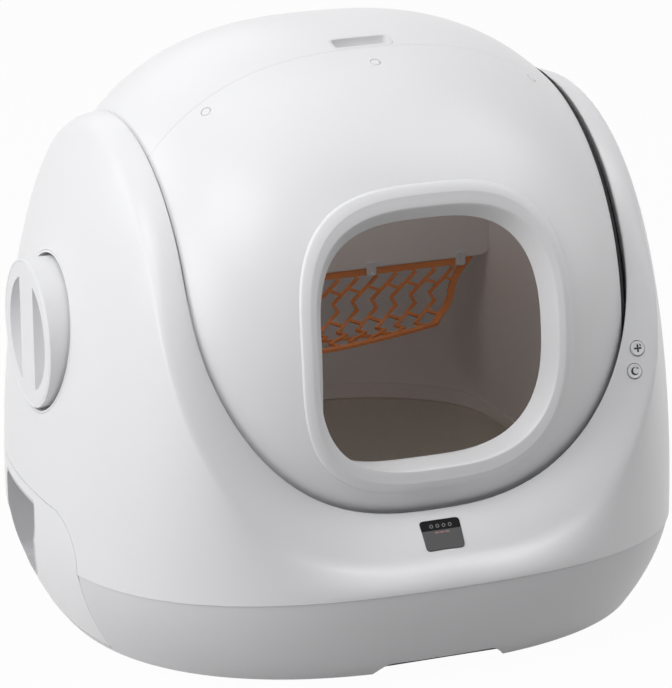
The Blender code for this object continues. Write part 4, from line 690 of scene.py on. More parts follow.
def stood(obj, place, direction):
    """Turns a shape made along X to a direction, and moves it to a place."""
    return move_shape(obj, X_AXIS.rotation_difference(direction).to_matrix().to_4x4(), Vector(place))


def placed(obj, place, x_axis, y_axis, z_axis):
    """Turns a shape's axes to the ones given, and moves it to a place."""
    return move_shape(obj, Matrix((x_axis, y_axis, z_axis)).transposed().to_4x4(), place)


def cylinder(name, radius, low, high, place, direction, segments=48, material=None, edge=0.0):
    """A cylinder along a direction from a place, with its far edge rounded."""
    profile = [(low, 0.0), (low, radius), (high, radius), (high, 0.0)]
    obj = turned(name, filleted(profile, [0.0, edge], 4), segments, material)
    return stood(obj, place, Vector(direction))


def fit(obj, body, slot, *nodes):
    """Puts a finished piece on its body, and hides the CAD nodes it stands for. The slot is not used."""
    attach(obj, body)
    if nodes:
        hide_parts(*nodes)
    return obj


# The drum's form

def power_ratio(value, power):
    return math.copysign(abs(value) ** (2 / power), value)


def drum_radius(x, grow=0.0):
    side = min(abs(x) / DRUM_REACH, 1.0) ** DRUM_SIDE_POWER
    return DRUM_RADIUS * (1 - side) ** (1 / DRUM_ROUND_POWER) + grow


def on_drum(x, angle, grow=0.0):
    radius = drum_radius(x, grow)
    return Vector((x, -radius * math.cos(angle), radius * math.sin(angle)))


def drum_slope(x, step=0.5 * MM):
    return (drum_radius(x + step) - drum_radius(x - step)) / (2 * step)


def drum_line(places, grow=0.0):
    return [(x, drum_radius(x, grow)) for x in places]


def drum_barrel(name):
    """The drum's skin. At the left it runs on over the end cap, up to the arm."""
    places = spread(-END_RIM_X, DRUM_HALF_LENGTH, DRUM_STEPS)
    profile = drum_line(places) + drum_line(places[::-1], -DRUM_WALL)
    return turned(name, profile, DRUM_SEGMENTS, WHITE, hollow=True)


def drum_core(name):
    places = spread(-DRUM_HALF_LENGTH, DRUM_HALF_LENGTH, DRUM_STEPS)
    return turned(name, [(places[0], 0.0)] + drum_line(places) + [(places[-1], 0.0)], DRUM_SEGMENTS)


ENTRANCE_UP = Vector((0.0, math.sin(ENTRANCE_TILT), math.cos(ENTRANCE_TILT)))
ENTRANCE_OUT = Vector((0.0, -math.cos(ENTRANCE_TILT), math.sin(ENTRANCE_TILT)))


def entrance_point(half_width, half_height, turn, grow=None, w=None, sink=0.0, power=ENTRANCE_POWER):
    u = half_width * power_ratio(math.cos(turn), power)
    v = half_height * power_ratio(math.sin(turn), power) - sink
    if w is None:
        w = math.sqrt(drum_radius(u, grow) ** 2 - v * v)
    return Vector((u, 0.0, 0.0)) + ENTRANCE_UP * v + ENTRANCE_OUT * w


def entrance_cutter(name, half_width, half_height):
    return loft(name, [[entrance_point(half_width, half_height, t, w=w) for t in full_turns(BEZEL_SEGMENTS)]
                       for w in (DRUM_RADIUS / 2, DRUM_RADIUS + OVERRUN)])


def split_inner_material(obj):
    """Gives the shell's inner faces the drum's inner finish."""
    obj.data.materials.append(DRUM_INNER)
    for face in obj.data.polygons:
        centre = face.center - AXIS_POINT
        across = math.hypot(centre.y, centre.z)
        if across < drum_radius(centre.x) - DRUM_WALL / 2:
            face.material_index = 1


def plug_place(x):
    y = SHELL_SEAM_Y - (PLUG_BEFORE_SEAM if x else MIDDLE_PLUG_BEFORE_SEAM)
    radius = drum_radius(x)
    point = Vector((x, y, math.sqrt(radius * radius - y * y)))
    out = Vector((0.0, point.y, point.z)).normalized()
    return point, (out - Vector((drum_slope(x), 0.0, 0.0))).normalized()


def handle_outline(grow):
    half = HANDLE_WIDTH / 2 + grow
    front = SHELL_SEAM_Y + SEAM_GAP + HANDLE_WALL - grow
    return rounded_outline((-half, front), (half, front + HANDLE_LENGTH + 2 * grow), HANDLE_CORNER + grow)


def half_skin(side, low_y, high_y):
    """The skin of one of the drum's two shells, between two planes."""
    reach = DRUM_RADIUS + OVERRUN
    half = block(side + "_half", (-reach, low_y, -reach), (reach, high_y, reach))
    return keep(drum_barrel("drum_%s_skin" % side), half)


def finish_shell(shell, side, *openings):
    cut(shell, *openings)
    split_inner_material(shell)
    fit(shell, "drum", "white_shell", "drum_%s_shell" % side)


def make_drum():
    reach = DRUM_RADIUS + OVERRUN
    front = half_skin("front", -reach, SHELL_SEAM_Y - SEAM_LINE / 2)
    collar = COLLAR_INSET - FIT_GAP - BEZEL_SEAT
    openings = [entrance_cutter("entrance_hole", BEZEL_HALF_WIDTH - collar, BEZEL_HALF_HEIGHT - collar)]
    seat_low = -PLUG_THICKNESS - FIT_GAP
    for name, x in (("left", -PLUG_SIDE_X), ("middle", 0.0), ("right", PLUG_SIDE_X)):
        place = plug_place(x)
        openings.append(cylinder("seat_" + name, PLUG_RADIUS + PLUG_SEAT_GAP, seat_low, OVERRUN, *place))
        plug = cylinder("plug_" + name, PLUG_RADIUS, -PLUG_THICKNESS, FIT_GAP / 3, *place, PLUG_SEGMENTS,
                        WHITE_TRIM, PLUG_EDGE)
        fit(plug, "drum", "white_trim", "seam_plug_" + name)
    finish_shell(front, "front", *openings)
    rear = half_skin("rear", SHELL_SEAM_Y + SEAM_LINE / 2, reach)
    finish_shell(rear, "rear", prism("handle_hole", handle_outline(FIT_GAP), "XY", 0.0, reach))


def make_handle():
    top = DRUM_RADIUS + OVERRUN
    surface = math.sqrt(DRUM_RADIUS ** 2 - SHELL_SEAM_Y ** 2)
    low = surface - HANDLE_DEPTH - HANDLE_WALL
    cup = prism("handle_scoop", handle_outline(0.0), "XY", low, top, WHITE_TRIM)
    keep(cup, drum_core("handle_skin"))
    front = SHELL_SEAM_Y + SEAM_GAP + 2 * HANDLE_WALL
    half = HANDLE_WIDTH / 2 - 2 * HANDLE_WALL
    slot = rounded_outline((-half, front), (half, front + HANDLE_SLOT_LENGTH), HANDLE_SLOT_CORNER)
    shelf_z = surface - HANDLE_SHELF_DEPTH
    cut(cup, prism("shelf_pocket", handle_outline(-HANDLE_WALL), "XY", shelf_z, top + OVERRUN))
    cut(cup, prism("slot_pocket", slot, "XY", surface - HANDLE_DEPTH, top + OVERRUN))
    soften(cup, HANDLE_EDGE)
    fit(cup, "drum", "grey_inner", "handle_cup")
    screw_y = front + HANDLE_LENGTH * HANDLE_SCREW_Y_SHARE
    for name, side in (("left", -1), ("right", 1)):
        place = (side * HANDLE_WIDTH * HANDLE_SCREW_X_SHARE, screw_y, shelf_z)
        dot = cylinder("handle_screw_" + name, HANDLE_SCREW_RADIUS, HANDLE_SCREW_LOW, HANDLE_SCREW_HIGH,
                       place, Z_AXIS, HANDLE_SCREW_SEGMENTS, GLYPH)
        fit(dot, "drum", "dark_plastic")


def throat_power(turn, share):
    """The throat's lower left corner gets sharper towards the inside."""
    lower_left = math.cos(turn) < 0 and math.sin(turn) < 0
    return ENTRANCE_POWER + (THROAT_CORNER_POWER - ENTRANCE_POWER) * share * lower_left


def entrance_ring(half_width, half_height, grow, sink=0.0, share=0.0):
    return [entrance_point(half_width, half_height, turn, grow, sink=sink, power=throat_power(turn, share))
            for turn in full_turns(BEZEL_SEGMENTS)]


def bezel_rings():
    """The collar's section: a crowned face, a sloped face, and the throat that runs into the drum."""
    rings = [entrance_ring(BEZEL_HALF_WIDTH - w * MM, BEZEL_HALF_HEIGHT - h * MM, grow * MM)
             for w, h, grow in BEZEL_FACE]
    start_w, start_h, start_grow = (value * MM for value in BEZEL_FACE[-1])
    for t in spread(0.0, 1.0, THROAT_STEPS)[1:]:
        width = BEZEL_HALF_WIDTH - start_w + (THROAT_HALF_WIDTH - BEZEL_HALF_WIDTH + start_w) * t
        height = BEZEL_HALF_HEIGHT - start_h + (THROAT_HALF_HEIGHT - BEZEL_HALF_HEIGHT + start_h) * t
        depth = start_grow + (-THROAT_DEPTH - start_grow) * t
        rings.append(entrance_ring(width, height, depth, THROAT_SINK * t, t))
    for out, depth in THROAT_END:
        rings.append(entrance_ring(THROAT_HALF_WIDTH + out * MM, THROAT_HALF_HEIGHT + out * MM,
                                   -THROAT_DEPTH + depth * MM, THROAT_SINK, 1.0))
    for grow in (-DRUM_WALL - BEZEL_SEAT, BEZEL_SEAT):
        rings.append(entrance_ring(BEZEL_HALF_WIDTH - COLLAR_INSET, BEZEL_HALF_HEIGHT - COLLAR_INSET, grow))
    return rings


def make_bezel():
    bezel = loft("bezel_ring", bezel_rings(), WHITE_TRIM, cap=False)
    smooth(bezel.data, BEZEL_SMOOTH_ANGLE)
    fit(bezel, "drum", "white_trim", "entrance_bezel")


# The sieve and what holds it

def sieve_point(x, depth, lift):
    """Maps the flat sieve sheet (x, depth down the sheet, lift off it) to its bent form."""
    top = DIVIDER_LOW - FIT_GAP
    middle = DIVIDER_Y + CLIP_THICKNESS / 2 + FIT_GAP + SIEVE_THICKNESS / 2
    arc = SIEVE_BEND * math.pi / 2
    if depth <= SIEVE_DROP:
        return Vector((x, middle + lift, top - depth))
    if depth <= SIEVE_DROP + arc:
        turn = (depth - SIEVE_DROP) / SIEVE_BEND
        radius = SIEVE_BEND + lift
        return Vector((x, middle - SIEVE_BEND + radius * math.cos(turn),
                       top - SIEVE_DROP - radius * math.sin(turn)))
    return Vector((x, middle - SIEVE_BEND - (depth - SIEVE_DROP - arc), top - SIEVE_DROP - SIEVE_BEND - lift))


def sieve_whole():
    return SIEVE_DROP + SIEVE_BEND * math.pi / 2 + SIEVE_TRAY


def sieve_depth(x):
    side = min(abs(x) / SIEVE_HALF_WIDTH, 1.0)
    slope = 1 - SIEVE_RISE_SHARE * (math.hypot(side, SIEVE_MIDDLE_ROUND) - SIEVE_MIDDLE_ROUND)
    return sieve_whole() * slope * math.sqrt(max(0.0, 1 - (side * SIEVE_CORNER_REACH) ** SIEVE_CORNER_POWER))


def sieve_outline():
    right = [Vector((x * SIEVE_HALF_WIDTH, depth * sieve_whole())) for x, depth in SIEVE_END_SHARES]
    reach = SIEVE_BOTTOM_START_SHARE * SIEVE_HALF_WIDTH
    bottom = [Vector((x, sieve_depth(x))) for x in spread(reach, -reach, SIEVE_BOTTOM_STEPS)]
    return right + bottom + mirrored(right)


def bar_point(column, row, share):
    """A place on a bar's leaning stretch, from its right hand turn at 0 to its left hand turn at 1."""
    return Vector((SIEVE_FIRST_BAR_X + (column - row + BAR_LEAN_SHARE * share) * SIEVE_PITCH,
                   SIEVE_FIRST_TURN + (row + BAR_FALL_SHARE * share) * SIEVE_PERIOD))


def sieve_cell(column, row):
    """One tread shaped hole, between two bars and two links."""
    sides = []
    for bar, share in ((column, LINK_START_SHARE), (column + 1, LINK_END_SHARE)):
        sides.append([bar_point(bar, row, share), bar_point(bar, row, 1.0),
                      bar_point(bar, row + 1, 0.0), bar_point(bar, row + 1, share)])
    return inset_loop(sides[0] + sides[1][::-1], SIEVE_BAR / 2)


def loop_area(loop):
    return sum(a.x * b.y - b.x * a.y for a, b in zip(loop, loop[1:] + loop[:1])) / 2


def inset_loop(loop, distance):
    """Moves each side of a closed outline inwards."""
    sign = math.copysign(1.0, loop_area(loop))
    out = []
    for k, here in enumerate(loop):
        first = (here - loop[k - 1]).normalized()
        second = (loop[(k + 1) % len(loop)] - here).normalized()
        before, after = Vector((-first.y, first.x)) * sign, Vector((-second.y, second.x)) * sign
        middle = (before + after).normalized()
        out.append(here + middle * distance / max(SHARPEST_TURN, middle.dot(before)))
    return out


def pierced_sheet(name, outline, border, holes, thickness, material):
    """A flat sheet (x, depth, lift), open where a hole lies inside the border."""
    loops = [outline, border] + holes
    points, faces = [], []
    for loop in loops:
        faces.append(list(range(len(points), len(points) + len(loop))))
        points += loop if loop_area(loop) > 0 else loop[::-1]
    flat, _, triangles, _, _, sources = delaunay_2d_cdt(points, [], faces, 1, MERGE_DISTANCE)
    solid = [t for t, ids in zip(triangles, sources) if 0 in ids and not (1 in ids and max(ids) > 1)]
    sides = {(a, b) for t in solid for a, b in zip(t, t[1:] + t[:1])}
    count = len(flat)
    faces = solid + [[k + count for k in reversed(t)] for t in solid]
    faces += [(b, a, a + count, b + count) for a, b in sides if (b, a) not in sides]
    verts = [(p.x, p.y, lift) for lift in (thickness / 2, -thickness / 2) for p in flat]
    return new_mesh(name, verts, faces, material)


def make_sieve():
    outline = sieve_outline()
    border = inset_loop(outline, SIEVE_RIM)
    columns = int(SIEVE_HALF_WIDTH / SIEVE_PITCH) * 2
    holes = [sieve_cell(column, row) for row in SIEVE_ROWS for column in range(-columns, columns)]
    reach = max(p.x for p in border) - SIEVE_BAR
    start = border[0].y + SIEVE_BAR
    holes = [h for h in holes if min(abs(p.x) for p in h) < reach and max(p.y for p in h) > start]
    sheet = pierced_sheet("sieve_tread", outline, border, holes, SIEVE_THICKNESS, ORANGE)
    bend_sheet(sheet)
    soften(sheet, SIEVE_EDGE, 2, SHARP_ONLY)
    fit(sheet, "drum", "orange_sieve", "sieve")


def bend_sheet(sheet):
    """Cuts the flat sheet into strips along its bend, and bends it."""
    sheet.data.transform(Matrix.Translation(-AXIS_POINT))
    work = bmesh.new()
    work.from_mesh(sheet.data)
    arc = SIEVE_BEND * math.pi / 2
    for depth in spread(SIEVE_DROP, SIEVE_DROP + arc, SIEVE_BEND_STEPS):
        geometry = work.verts[:] + work.edges[:] + work.faces[:]
        bmesh.ops.bisect_plane(work, geom=geometry, plane_co=(0.0, depth, 0.0), plane_no=(0.0, 1.0, 0.0),
                               dist=CUT_DISTANCE)
    for vert in work.verts:
        vert.co = sieve_point(*vert.co) + AXIS_POINT
    bmesh.ops.delete(work, geom=[v for v in work.verts if not v.link_faces], context="VERTS")
    bmesh.ops.recalc_face_normals(work, faces=work.faces)
    work.to_mesh(sheet.data)
    work.free()
    smooth(sheet.data, SIEVE_SMOOTH_ANGLE)


def make_divider():
    half = DRUM_HALF_LENGTH
    outline = rounded_outline((-half, DIVIDER_LOW), (half, DIVIDER_TOP), DIVIDER_CORNER, steps=10)
    wall = prism("divider_panel", outline, "XZ", DIVIDER_Y, DIVIDER_Y + DIVIDER_THICKNESS, DRUM_INNER)
    soften(wall, DIVIDER_EDGE, 4)
    fit(wall, "drum", "grey_inner", "divider_wall")
    low, high = DIVIDER_LOW - CLIP_HEIGHT / 2, DIVIDER_LOW + CLIP_HEIGHT / 2
    for k, share in enumerate(CLIP_PLACES_SHARES):
        x = share * SIEVE_HALF_WIDTH
        outline = rounded_outline((x - CLIP_WIDTH / 2, low), (x + CLIP_WIDTH / 2, high), CLIP_CORNER, steps=5)
        clip = prism("sieve_clip_%d" % k, outline, "XZ", DIVIDER_Y - CLIP_THICKNESS,
                     DIVIDER_Y + CLIP_THICKNESS / 2, WHITE_TRIM)
        outline = rounded_outline((x - SLIT_HALF_WIDTH, low + SLIT_END),
                                  (x + SLIT_HALF_WIDTH, high - SLIT_END), SLIT_CORNER, steps=3)
        cut(clip, prism("slit", outline, "XZ", DIVIDER_Y - OVERRUN, DIVIDER_Y - CLIP_THICKNESS / 2))
        soften(clip, CLIP_EDGE)
        fit(clip, "drum", "grey_inner")


def lining_end():
    """The rounded end of the drum's inside, as (x, radius) points from the barrel to the flat end."""
    start = Vector((LINING_START_X, drum_radius(LINING_START_X, -DRUM_WALL)))
    fall = drum_slope(LINING_START_X) * (LINING_END_X - LINING_START_X)
    corner = Vector((LINING_END_X, start.y + fall))
    return rounded_corner(start, corner, corner - Vector((0.0, LINING_FILLET)), LINING_STEPS)


def moved_in(points, distance):
    """Moves a profile, which runs to the right and then towards the axis, off its left hand side."""
    out = []
    for k, point in enumerate(points):
        along = (points[min(k + 1, len(points) - 1)] - points[max(k - 1, 0)]).normalized()
        out.append(point + Vector((along.y, -along.x)) * distance)
    return out


def lining_sheet(name, profile, start, wall, material):
    rows = moved_in(profile, start) + moved_in(profile, start + wall)[::-1]
    return turned(name, [tuple(p) for p in rows], DRUM_SEGMENTS, material, hollow=True)


def make_linings():
    """The turned ends of the drum's inside, where the wall runs round into the end caps."""
    right = lining_end() + [Vector((LINING_END_X, LINING_THICKNESS))]
    for name, profile in (("left", mirrored(right)), ("right", right)):
        dish = lining_sheet("lining_" + name, profile, LINING_GAP, LINING_THICKNESS, DRUM_INNER)
        smooth(dish.data, LINING_SMOOTH_ANGLE)
        fit(dish, "drum", "grey_inner")


def liner_profile():
    places = spread(-LINING_START_X, LINING_START_X, DRUM_STEPS)
    barrel = [Vector(p) for p in drum_line(places, -DRUM_WALL)]
    right = lining_end()[1:] + [Vector((LINING_END_X, -LINER_TOP_Z - LINER_END_RISE))]
    return mirrored(right) + barrel + right


def make_floor_sheet(name, gap, wall, low, high, material, edge, slot, *nodes):
    """A sheet on the drum's inside, between two heights."""
    reach = DRUM_RADIUS + OVERRUN
    sheet = lining_sheet(name, liner_profile(), LINING_THICKNESS + gap, wall, material)
    keep(sheet, block(name + "_space", (-reach, -reach, low), (reach, reach, high)))
    soften(sheet, edge, 2)
    fit(sheet, "drum", slot, *nodes)


def make_liner():
    reach = DRUM_RADIUS + OVERRUN
    make_floor_sheet("liner_mat", FIT_GAP, LINER_WALL, -reach, LINER_TOP_Z, LINER, LINER_BEVEL,
                     "liner_grey", "litter_liner")
    low = LINER_TOP_Z + FIT_GAP
    make_floor_sheet("liner_ledge", FIT_GAP / 2, LINER_WALL / 2, low, low + LEDGE_HEIGHT, LINER_EDGE,
                     LEDGE_BEVEL, "grey_inner")


def make_left_cap():
    """The left end cap with its stub axle, inside the skin's end."""
    near = DRUM_HALF_LENGTH + FIT_GAP
    far = near + CAP_THICKNESS
    rim = drum_radius(far, -DRUM_WALL - FIT_GAP)
    end = far + STUB_LENGTH
    profile = [(near, 0.0), (near, rim), (far, rim), (far, END_HUB_RADIUS),
               (far + END_HUB_STEP, END_HUB_RADIUS - END_HUB_STEP), (far + END_HUB_STEP, STUB_RADIUS),
               (end, STUB_RADIUS), (end, SOCKET_RADIUS), (end - SOCKET_DEPTH, SOCKET_RADIUS),
               (end - SOCKET_DEPTH, 0.0)]
    cap = turned("end_cap_with_axle", [(-x, r) for x, r in profile], DRUM_SEGMENTS, WHITE_TRIM)
    fit(cap, "drum", "white_trim", "drum_end_cap_left")


# The cradle's form

def body_outline(turn, half_width, front, rear, front_power, rear_power):
    direction = (math.sin(turn), -math.cos(turn))
    power, depth = (front_power, front) if direction[1] < 0 else (rear_power, rear)
    size = (abs(direction[0]) / half_width) ** power + (abs(direction[1]) / depth) ** power
    reach = size ** (-1 / power)
    return Vector((direction[0] * reach, direction[1] * reach, 0.0))


def parting_point(turn, inset=0.0, drop=0.0):
    point = body_outline(turn, BODY_HALF_WIDTH - inset, BODY_FRONT - inset, BODY_REAR - inset,
                         BODY_FRONT_POWER, BODY_REAR_POWER)
    point.z = PARTING_Z + PARTING_FRONT_RISE * max(0.0, -point.y / BODY_FRONT) ** PARTING_RISE_POWER - drop
    return point


def skirt_point(turn, inset=0.0, z=SKIRT_BOTTOM_Z):
    point = body_outline(turn, SKIRT_HALF_WIDTH - inset, SKIRT_FRONT - inset, SKIRT_REAR - inset,
                         SKIRT_POWER, SKIRT_POWER)
    point.z = z
    return point


def rim_points(bend, angle=None, rear=False):
    """The rim at one station: lip, edge, crease and the band's outward direction."""
    low_angle = RIM_REAR_ANGLE if rear else RIM_FRONT_ANGLE
    if angle is None:
        x = RIM_HALF_WIDTH * power_ratio(math.sin(bend), RIM_POWER)
        angle = RIM_SIDE_ANGLE - (RIM_SIDE_ANGLE - low_angle) * power_ratio(math.cos(bend), RIM_POWER)
        angle = math.pi - angle if rear else angle
    else:
        x, bend = RIM_HALF_WIDTH, math.pi / 2
    edge = on_drum(x, angle, DRUM_GAP)
    out = Vector((0.0, -math.cos(angle), math.sin(angle)))
    up = Vector((0.0, math.sin(angle), math.cos(angle))) * (-1 if rear else 1)
    across = Vector((1.0, 0.0, 0.0))
    soft = math.cos(bend)
    width = (BAND_SIDE_WIDTH + BAND_CORNER_WIDTH * soft) * math.sin(bend)
    reach = BAND_SIDE_REACH + (BAND_FRONT_REACH - BAND_SIDE_REACH) * max(0.0, soft) ** BAND_REACH_POWER
    drop = (BAND_FRONT_DROP + BAND_CORNER_DROP * abs(math.sin(bend))) * soft
    crease = edge + across * width + out * reach - up * drop
    outward = (across + out * drum_slope(x)).lerp(-out, math.sin(bend) ** ARM_LIP_POWER).normalized()
    lip = edge + (outward * math.sin(bend) - up * soft).normalized() * RIM_LIP
    # The same side step is used on a rear station, so the normal is turned to face outwards
    normal = (crease - edge).cross(-across * soft - up * math.sin(bend) * (-1 if rear else 1)).normalized()
    if normal.dot(out + Vector((0.0, 0.0, 0.5))) < 0:
        normal = -normal
    return lip, edge, crease, normal


def rim_loop():
    """Stations once round the cradle: (points, mirrored) from the front's middle, anticlockwise."""
    bends = [math.radians(a) for a in spread(0.0, 90.0, FRONT_STATIONS)]
    arm = spread(RIM_SIDE_ANGLE, math.pi - RIM_SIDE_ANGLE, ARM_STATIONS + 1)[1:-1]
    right = [rim_points(b) for b in bends]
    right += [rim_points(None, a, a > math.pi / 2) for a in arm]
    right += [rim_points(b, None, True) for b in reversed(bends)]
    flip = lambda p: Vector((-p.x, p.y, p.z))
    return right + [tuple(flip(p) for p in station) for station in reversed(right[1:-1])]


def bezier(a, b, c, d, t):
    s = 1 - t
    return a * s ** 3 + b * 3 * s * s * t + c * 3 * s * t * t + d * t ** 3


def side_handles(crease, foot):
    flat = Vector((foot.x - crease.x, foot.y - crease.y, 0.0))
    height = crease.z - foot.z
    first = crease + flat * SIDE_OUT_SHARE - Vector((0.0, 0.0, height * SIDE_DOWN_SHARE))
    second = foot - flat * SIDE_IN_SHARE + Vector((0.0, 0.0, height * SIDE_UP_SHARE))
    return first, second


def cradle_column(station, foot):
    """The cradle's surface at one station, from the lip, over the rim, to the parting line."""
    lip, edge, crease, normal = station
    band = crease - edge
    length = band.length
    along = band / length

    def band_point(distance):
        share = distance / length
        return edge + along * distance + normal * BAND_CROWN * 4 * share * (1 - share)

    first, second = side_handles(crease, foot)
    rise = (first - crease).length * 3
    start_t = CREASE_ROUND / max(rise, CREASE_ROUND)
    points = [lip]
    on_lip = edge + (lip - edge).normalized() * EDGE_ROUND
    points += rounded_corner(on_lip, edge, band_point(EDGE_ROUND), EDGE_STEPS)
    points += [band_point(d) for d in spread(EDGE_ROUND, length - CREASE_ROUND, BAND_ROWS)[1:-1]]
    on_side = bezier(crease, first, second, foot, start_t)
    points += rounded_corner(band_point(length - CREASE_ROUND), crease, on_side, CREASE_STEPS)
    points += [bezier(crease, first, second, foot, t) for t in spread(start_t, 1.0, SIDE_STEPS)[1:]]
    return points


def plan_turn(point):
    return math.atan2(point.x, -point.y)


def cradle_columns():
    return [cradle_column(s, parting_point(plan_turn(s[2]))) for s in rim_loop()]


def skirt_columns(inset=0.0, top_drop=PARTING_GAP):
    columns = []
    for station in rim_loop():
        turn = plan_turn(station[2])
        high = parting_point(turn, SKIRT_STEP + inset, top_drop)
        low = skirt_point(turn, inset)
        out = Vector((math.sin(turn), -math.cos(turn), 0.0)) * (high - low).length * SKIRT_BULGE_SHARE
        columns.append([high.lerp(low, t) + out * (4 * t * (1 - t)) for t in spread(0.0, 1.0, SKIRT_STEPS)])
    return columns


def thick_sheet(name, columns, wall, level_rows, material):
    rows = len(columns[0])
    rings = []
    for i, column in enumerate(columns):
        ahead, behind = columns[(i + 1) % len(columns)], columns[i - 1]
        inner = []
        for k, point in enumerate(column):
            down = column[min(k + 1, rows - 1)] - column[max(k - 1, 0)]
            out = (ahead[k] - behind[k]).cross(-down)
            if k in level_rows or k - rows in level_rows:
                out.z = 0.0
            inner.append(point - out.normalized() * wall)
        rings.append(column + inner[::-1])
    return loft(name, rings, material, cap=False)


def body_core(name, inset):
    """The cradle's and the skirt's outer form as one solid, moved in by an inset."""
    cradle = cradle_columns()
    skirt = skirt_columns(inset, 0.0)
    first_side_row = len(cradle[0]) - SIDE_STEPS
    rings = [[skirt_point(plan_turn(c[-1]), inset) for c in cradle]]
    rings += [[c[k] for c in skirt] for k in range(SKIRT_STEPS - 1, 0, -1)]
    for k in range(len(cradle[0]) - 1, first_side_row, -1):
        rings.append([c[k] - Vector((c[k].x, c[k].y, 0.0)).normalized() * inset for c in cradle])
    verts = [p for ring in rings for p in ring]
    count = len(rings[0])
    faces = grid_faces(len(rings), count, False)
    low, high, top = len(verts), len(verts) + 1, (len(rings) - 1) * count
    verts += [Vector((0.0, 0.0, SKIRT_BOTTOM_Z)), Vector((0.0, 0.0, 0.0))]
    for k in range(count):
        n = (k + 1) % count
        faces += [(k, n, low), (top + k, top + n, high)]
    return new_mesh(name, verts, faces)


def body_skin(obj, name, wall):
    """Leaves of a block what lies in the body's wall."""
    keep(obj, body_core(name + "_outer_core", 0.0))
    cut(obj, body_core(name + "_inner_core", wall))


def drawer_outline(grow):
    """Rounded at the top, more so at the front, and square below, where it runs down to the sill."""
    front, rear = DRAWER_FRONT_Y - grow, DRAWER_REAR_Y + grow
    low, top = DRAWER_BOTTOM_Z - grow, DRAWER_TOP_Z + grow
    rear_round, front_round = DRAWER_REAR_CORNER + grow, DRAWER_FRONT_CORNER + grow
    points = []
    corners = ((rear - rear_round, rear_round, 0.0), (front + front_round, front_round, math.pi / 2))
    for y, radius, start in corners:
        points += arc((y, top - radius), radius, spread(start, start + math.pi / 2, DRAWER_CORNER_STEPS))
    return points + [(front, low), (rear, low)]


def grip_outline(grow):
    """The scoop's mouth. Its front edge slants back towards the bottom."""
    front, rear, top, low = GRIP_FRONT_Y - grow, GRIP_REAR_Y + grow, GRIP_TOP_Z + grow, GRIP_LOW_Z - grow
    middle = ((front + rear) / 2, top)
    points = [middle, (front, top), (front, low + GRIP_SLANT_HEIGHT), (front + GRIP_SLANT_REACH, low),
              (rear, low), (rear, top), middle]
    rounds = [GRIP_TOP_CORNER, GRIP_SLANT_ROUND, GRIP_SLANT_ROUND, GRIP_CORNER, GRIP_CORNER]
    return filleted(points, [max(r + grow, 0.0) for r in rounds], 8)[:-1]


def drawer_hole(name, grow=0.0):
    return prism(name, drawer_outline(grow), "YZ", -BODY_HALF_WIDTH - OVERRUN, -SKIRT_HALF_WIDTH / 3)


def cover_outline(grow):
    return rounded_outline((-COVER_HALF_WIDTH - grow, COVER_LOW_Z - grow),
                           (COVER_HALF_WIDTH + grow, COVER_TOP_Z + grow), COVER_CORNER)


def band_frame(bend, share):
    """A place on the rim's band: its point, its normal, and its directions along and down the band."""
    here, behind, ahead = (rim_points(b) for b in (bend, bend - BAND_STEP, bend + BAND_STEP))
    point = here[1].lerp(here[2], share) + here[3] * BAND_CROWN * 4 * share * (1 - share)
    down = (here[2] - here[1]).normalized()
    along = (ahead[1].lerp(ahead[2], share) - behind[1].lerp(behind[2], share)).normalized()
    along = (along - down * along.dot(down)).normalized()
    normal = along.cross(down).normalized()
    if normal.dot(Vector((0.0, -1.0, 1.0))) < 0:
        normal = -normal
    return point, normal, along, down


def bend_of_angle(angle):
    share = (RIM_SIDE_ANGLE - angle) / (RIM_SIDE_ANGLE - RIM_FRONT_ANGLE)
    return math.acos(min(1.0, share ** (RIM_POWER / 2)))


def lens_outline(grow):
    """A rounded window, a little narrower below."""
    top, low, half = LENS_WIDTH / 2 + grow, LENS_LOW_WIDTH / 2 + grow, LENS_HEIGHT / 2 + grow
    points = [(0.0, half), (-top, half), (-low, -half), (low, -half), (top, half), (0.0, half)]
    return filleted(points, [LENS_CORNER] * 4, 8)[:-1]


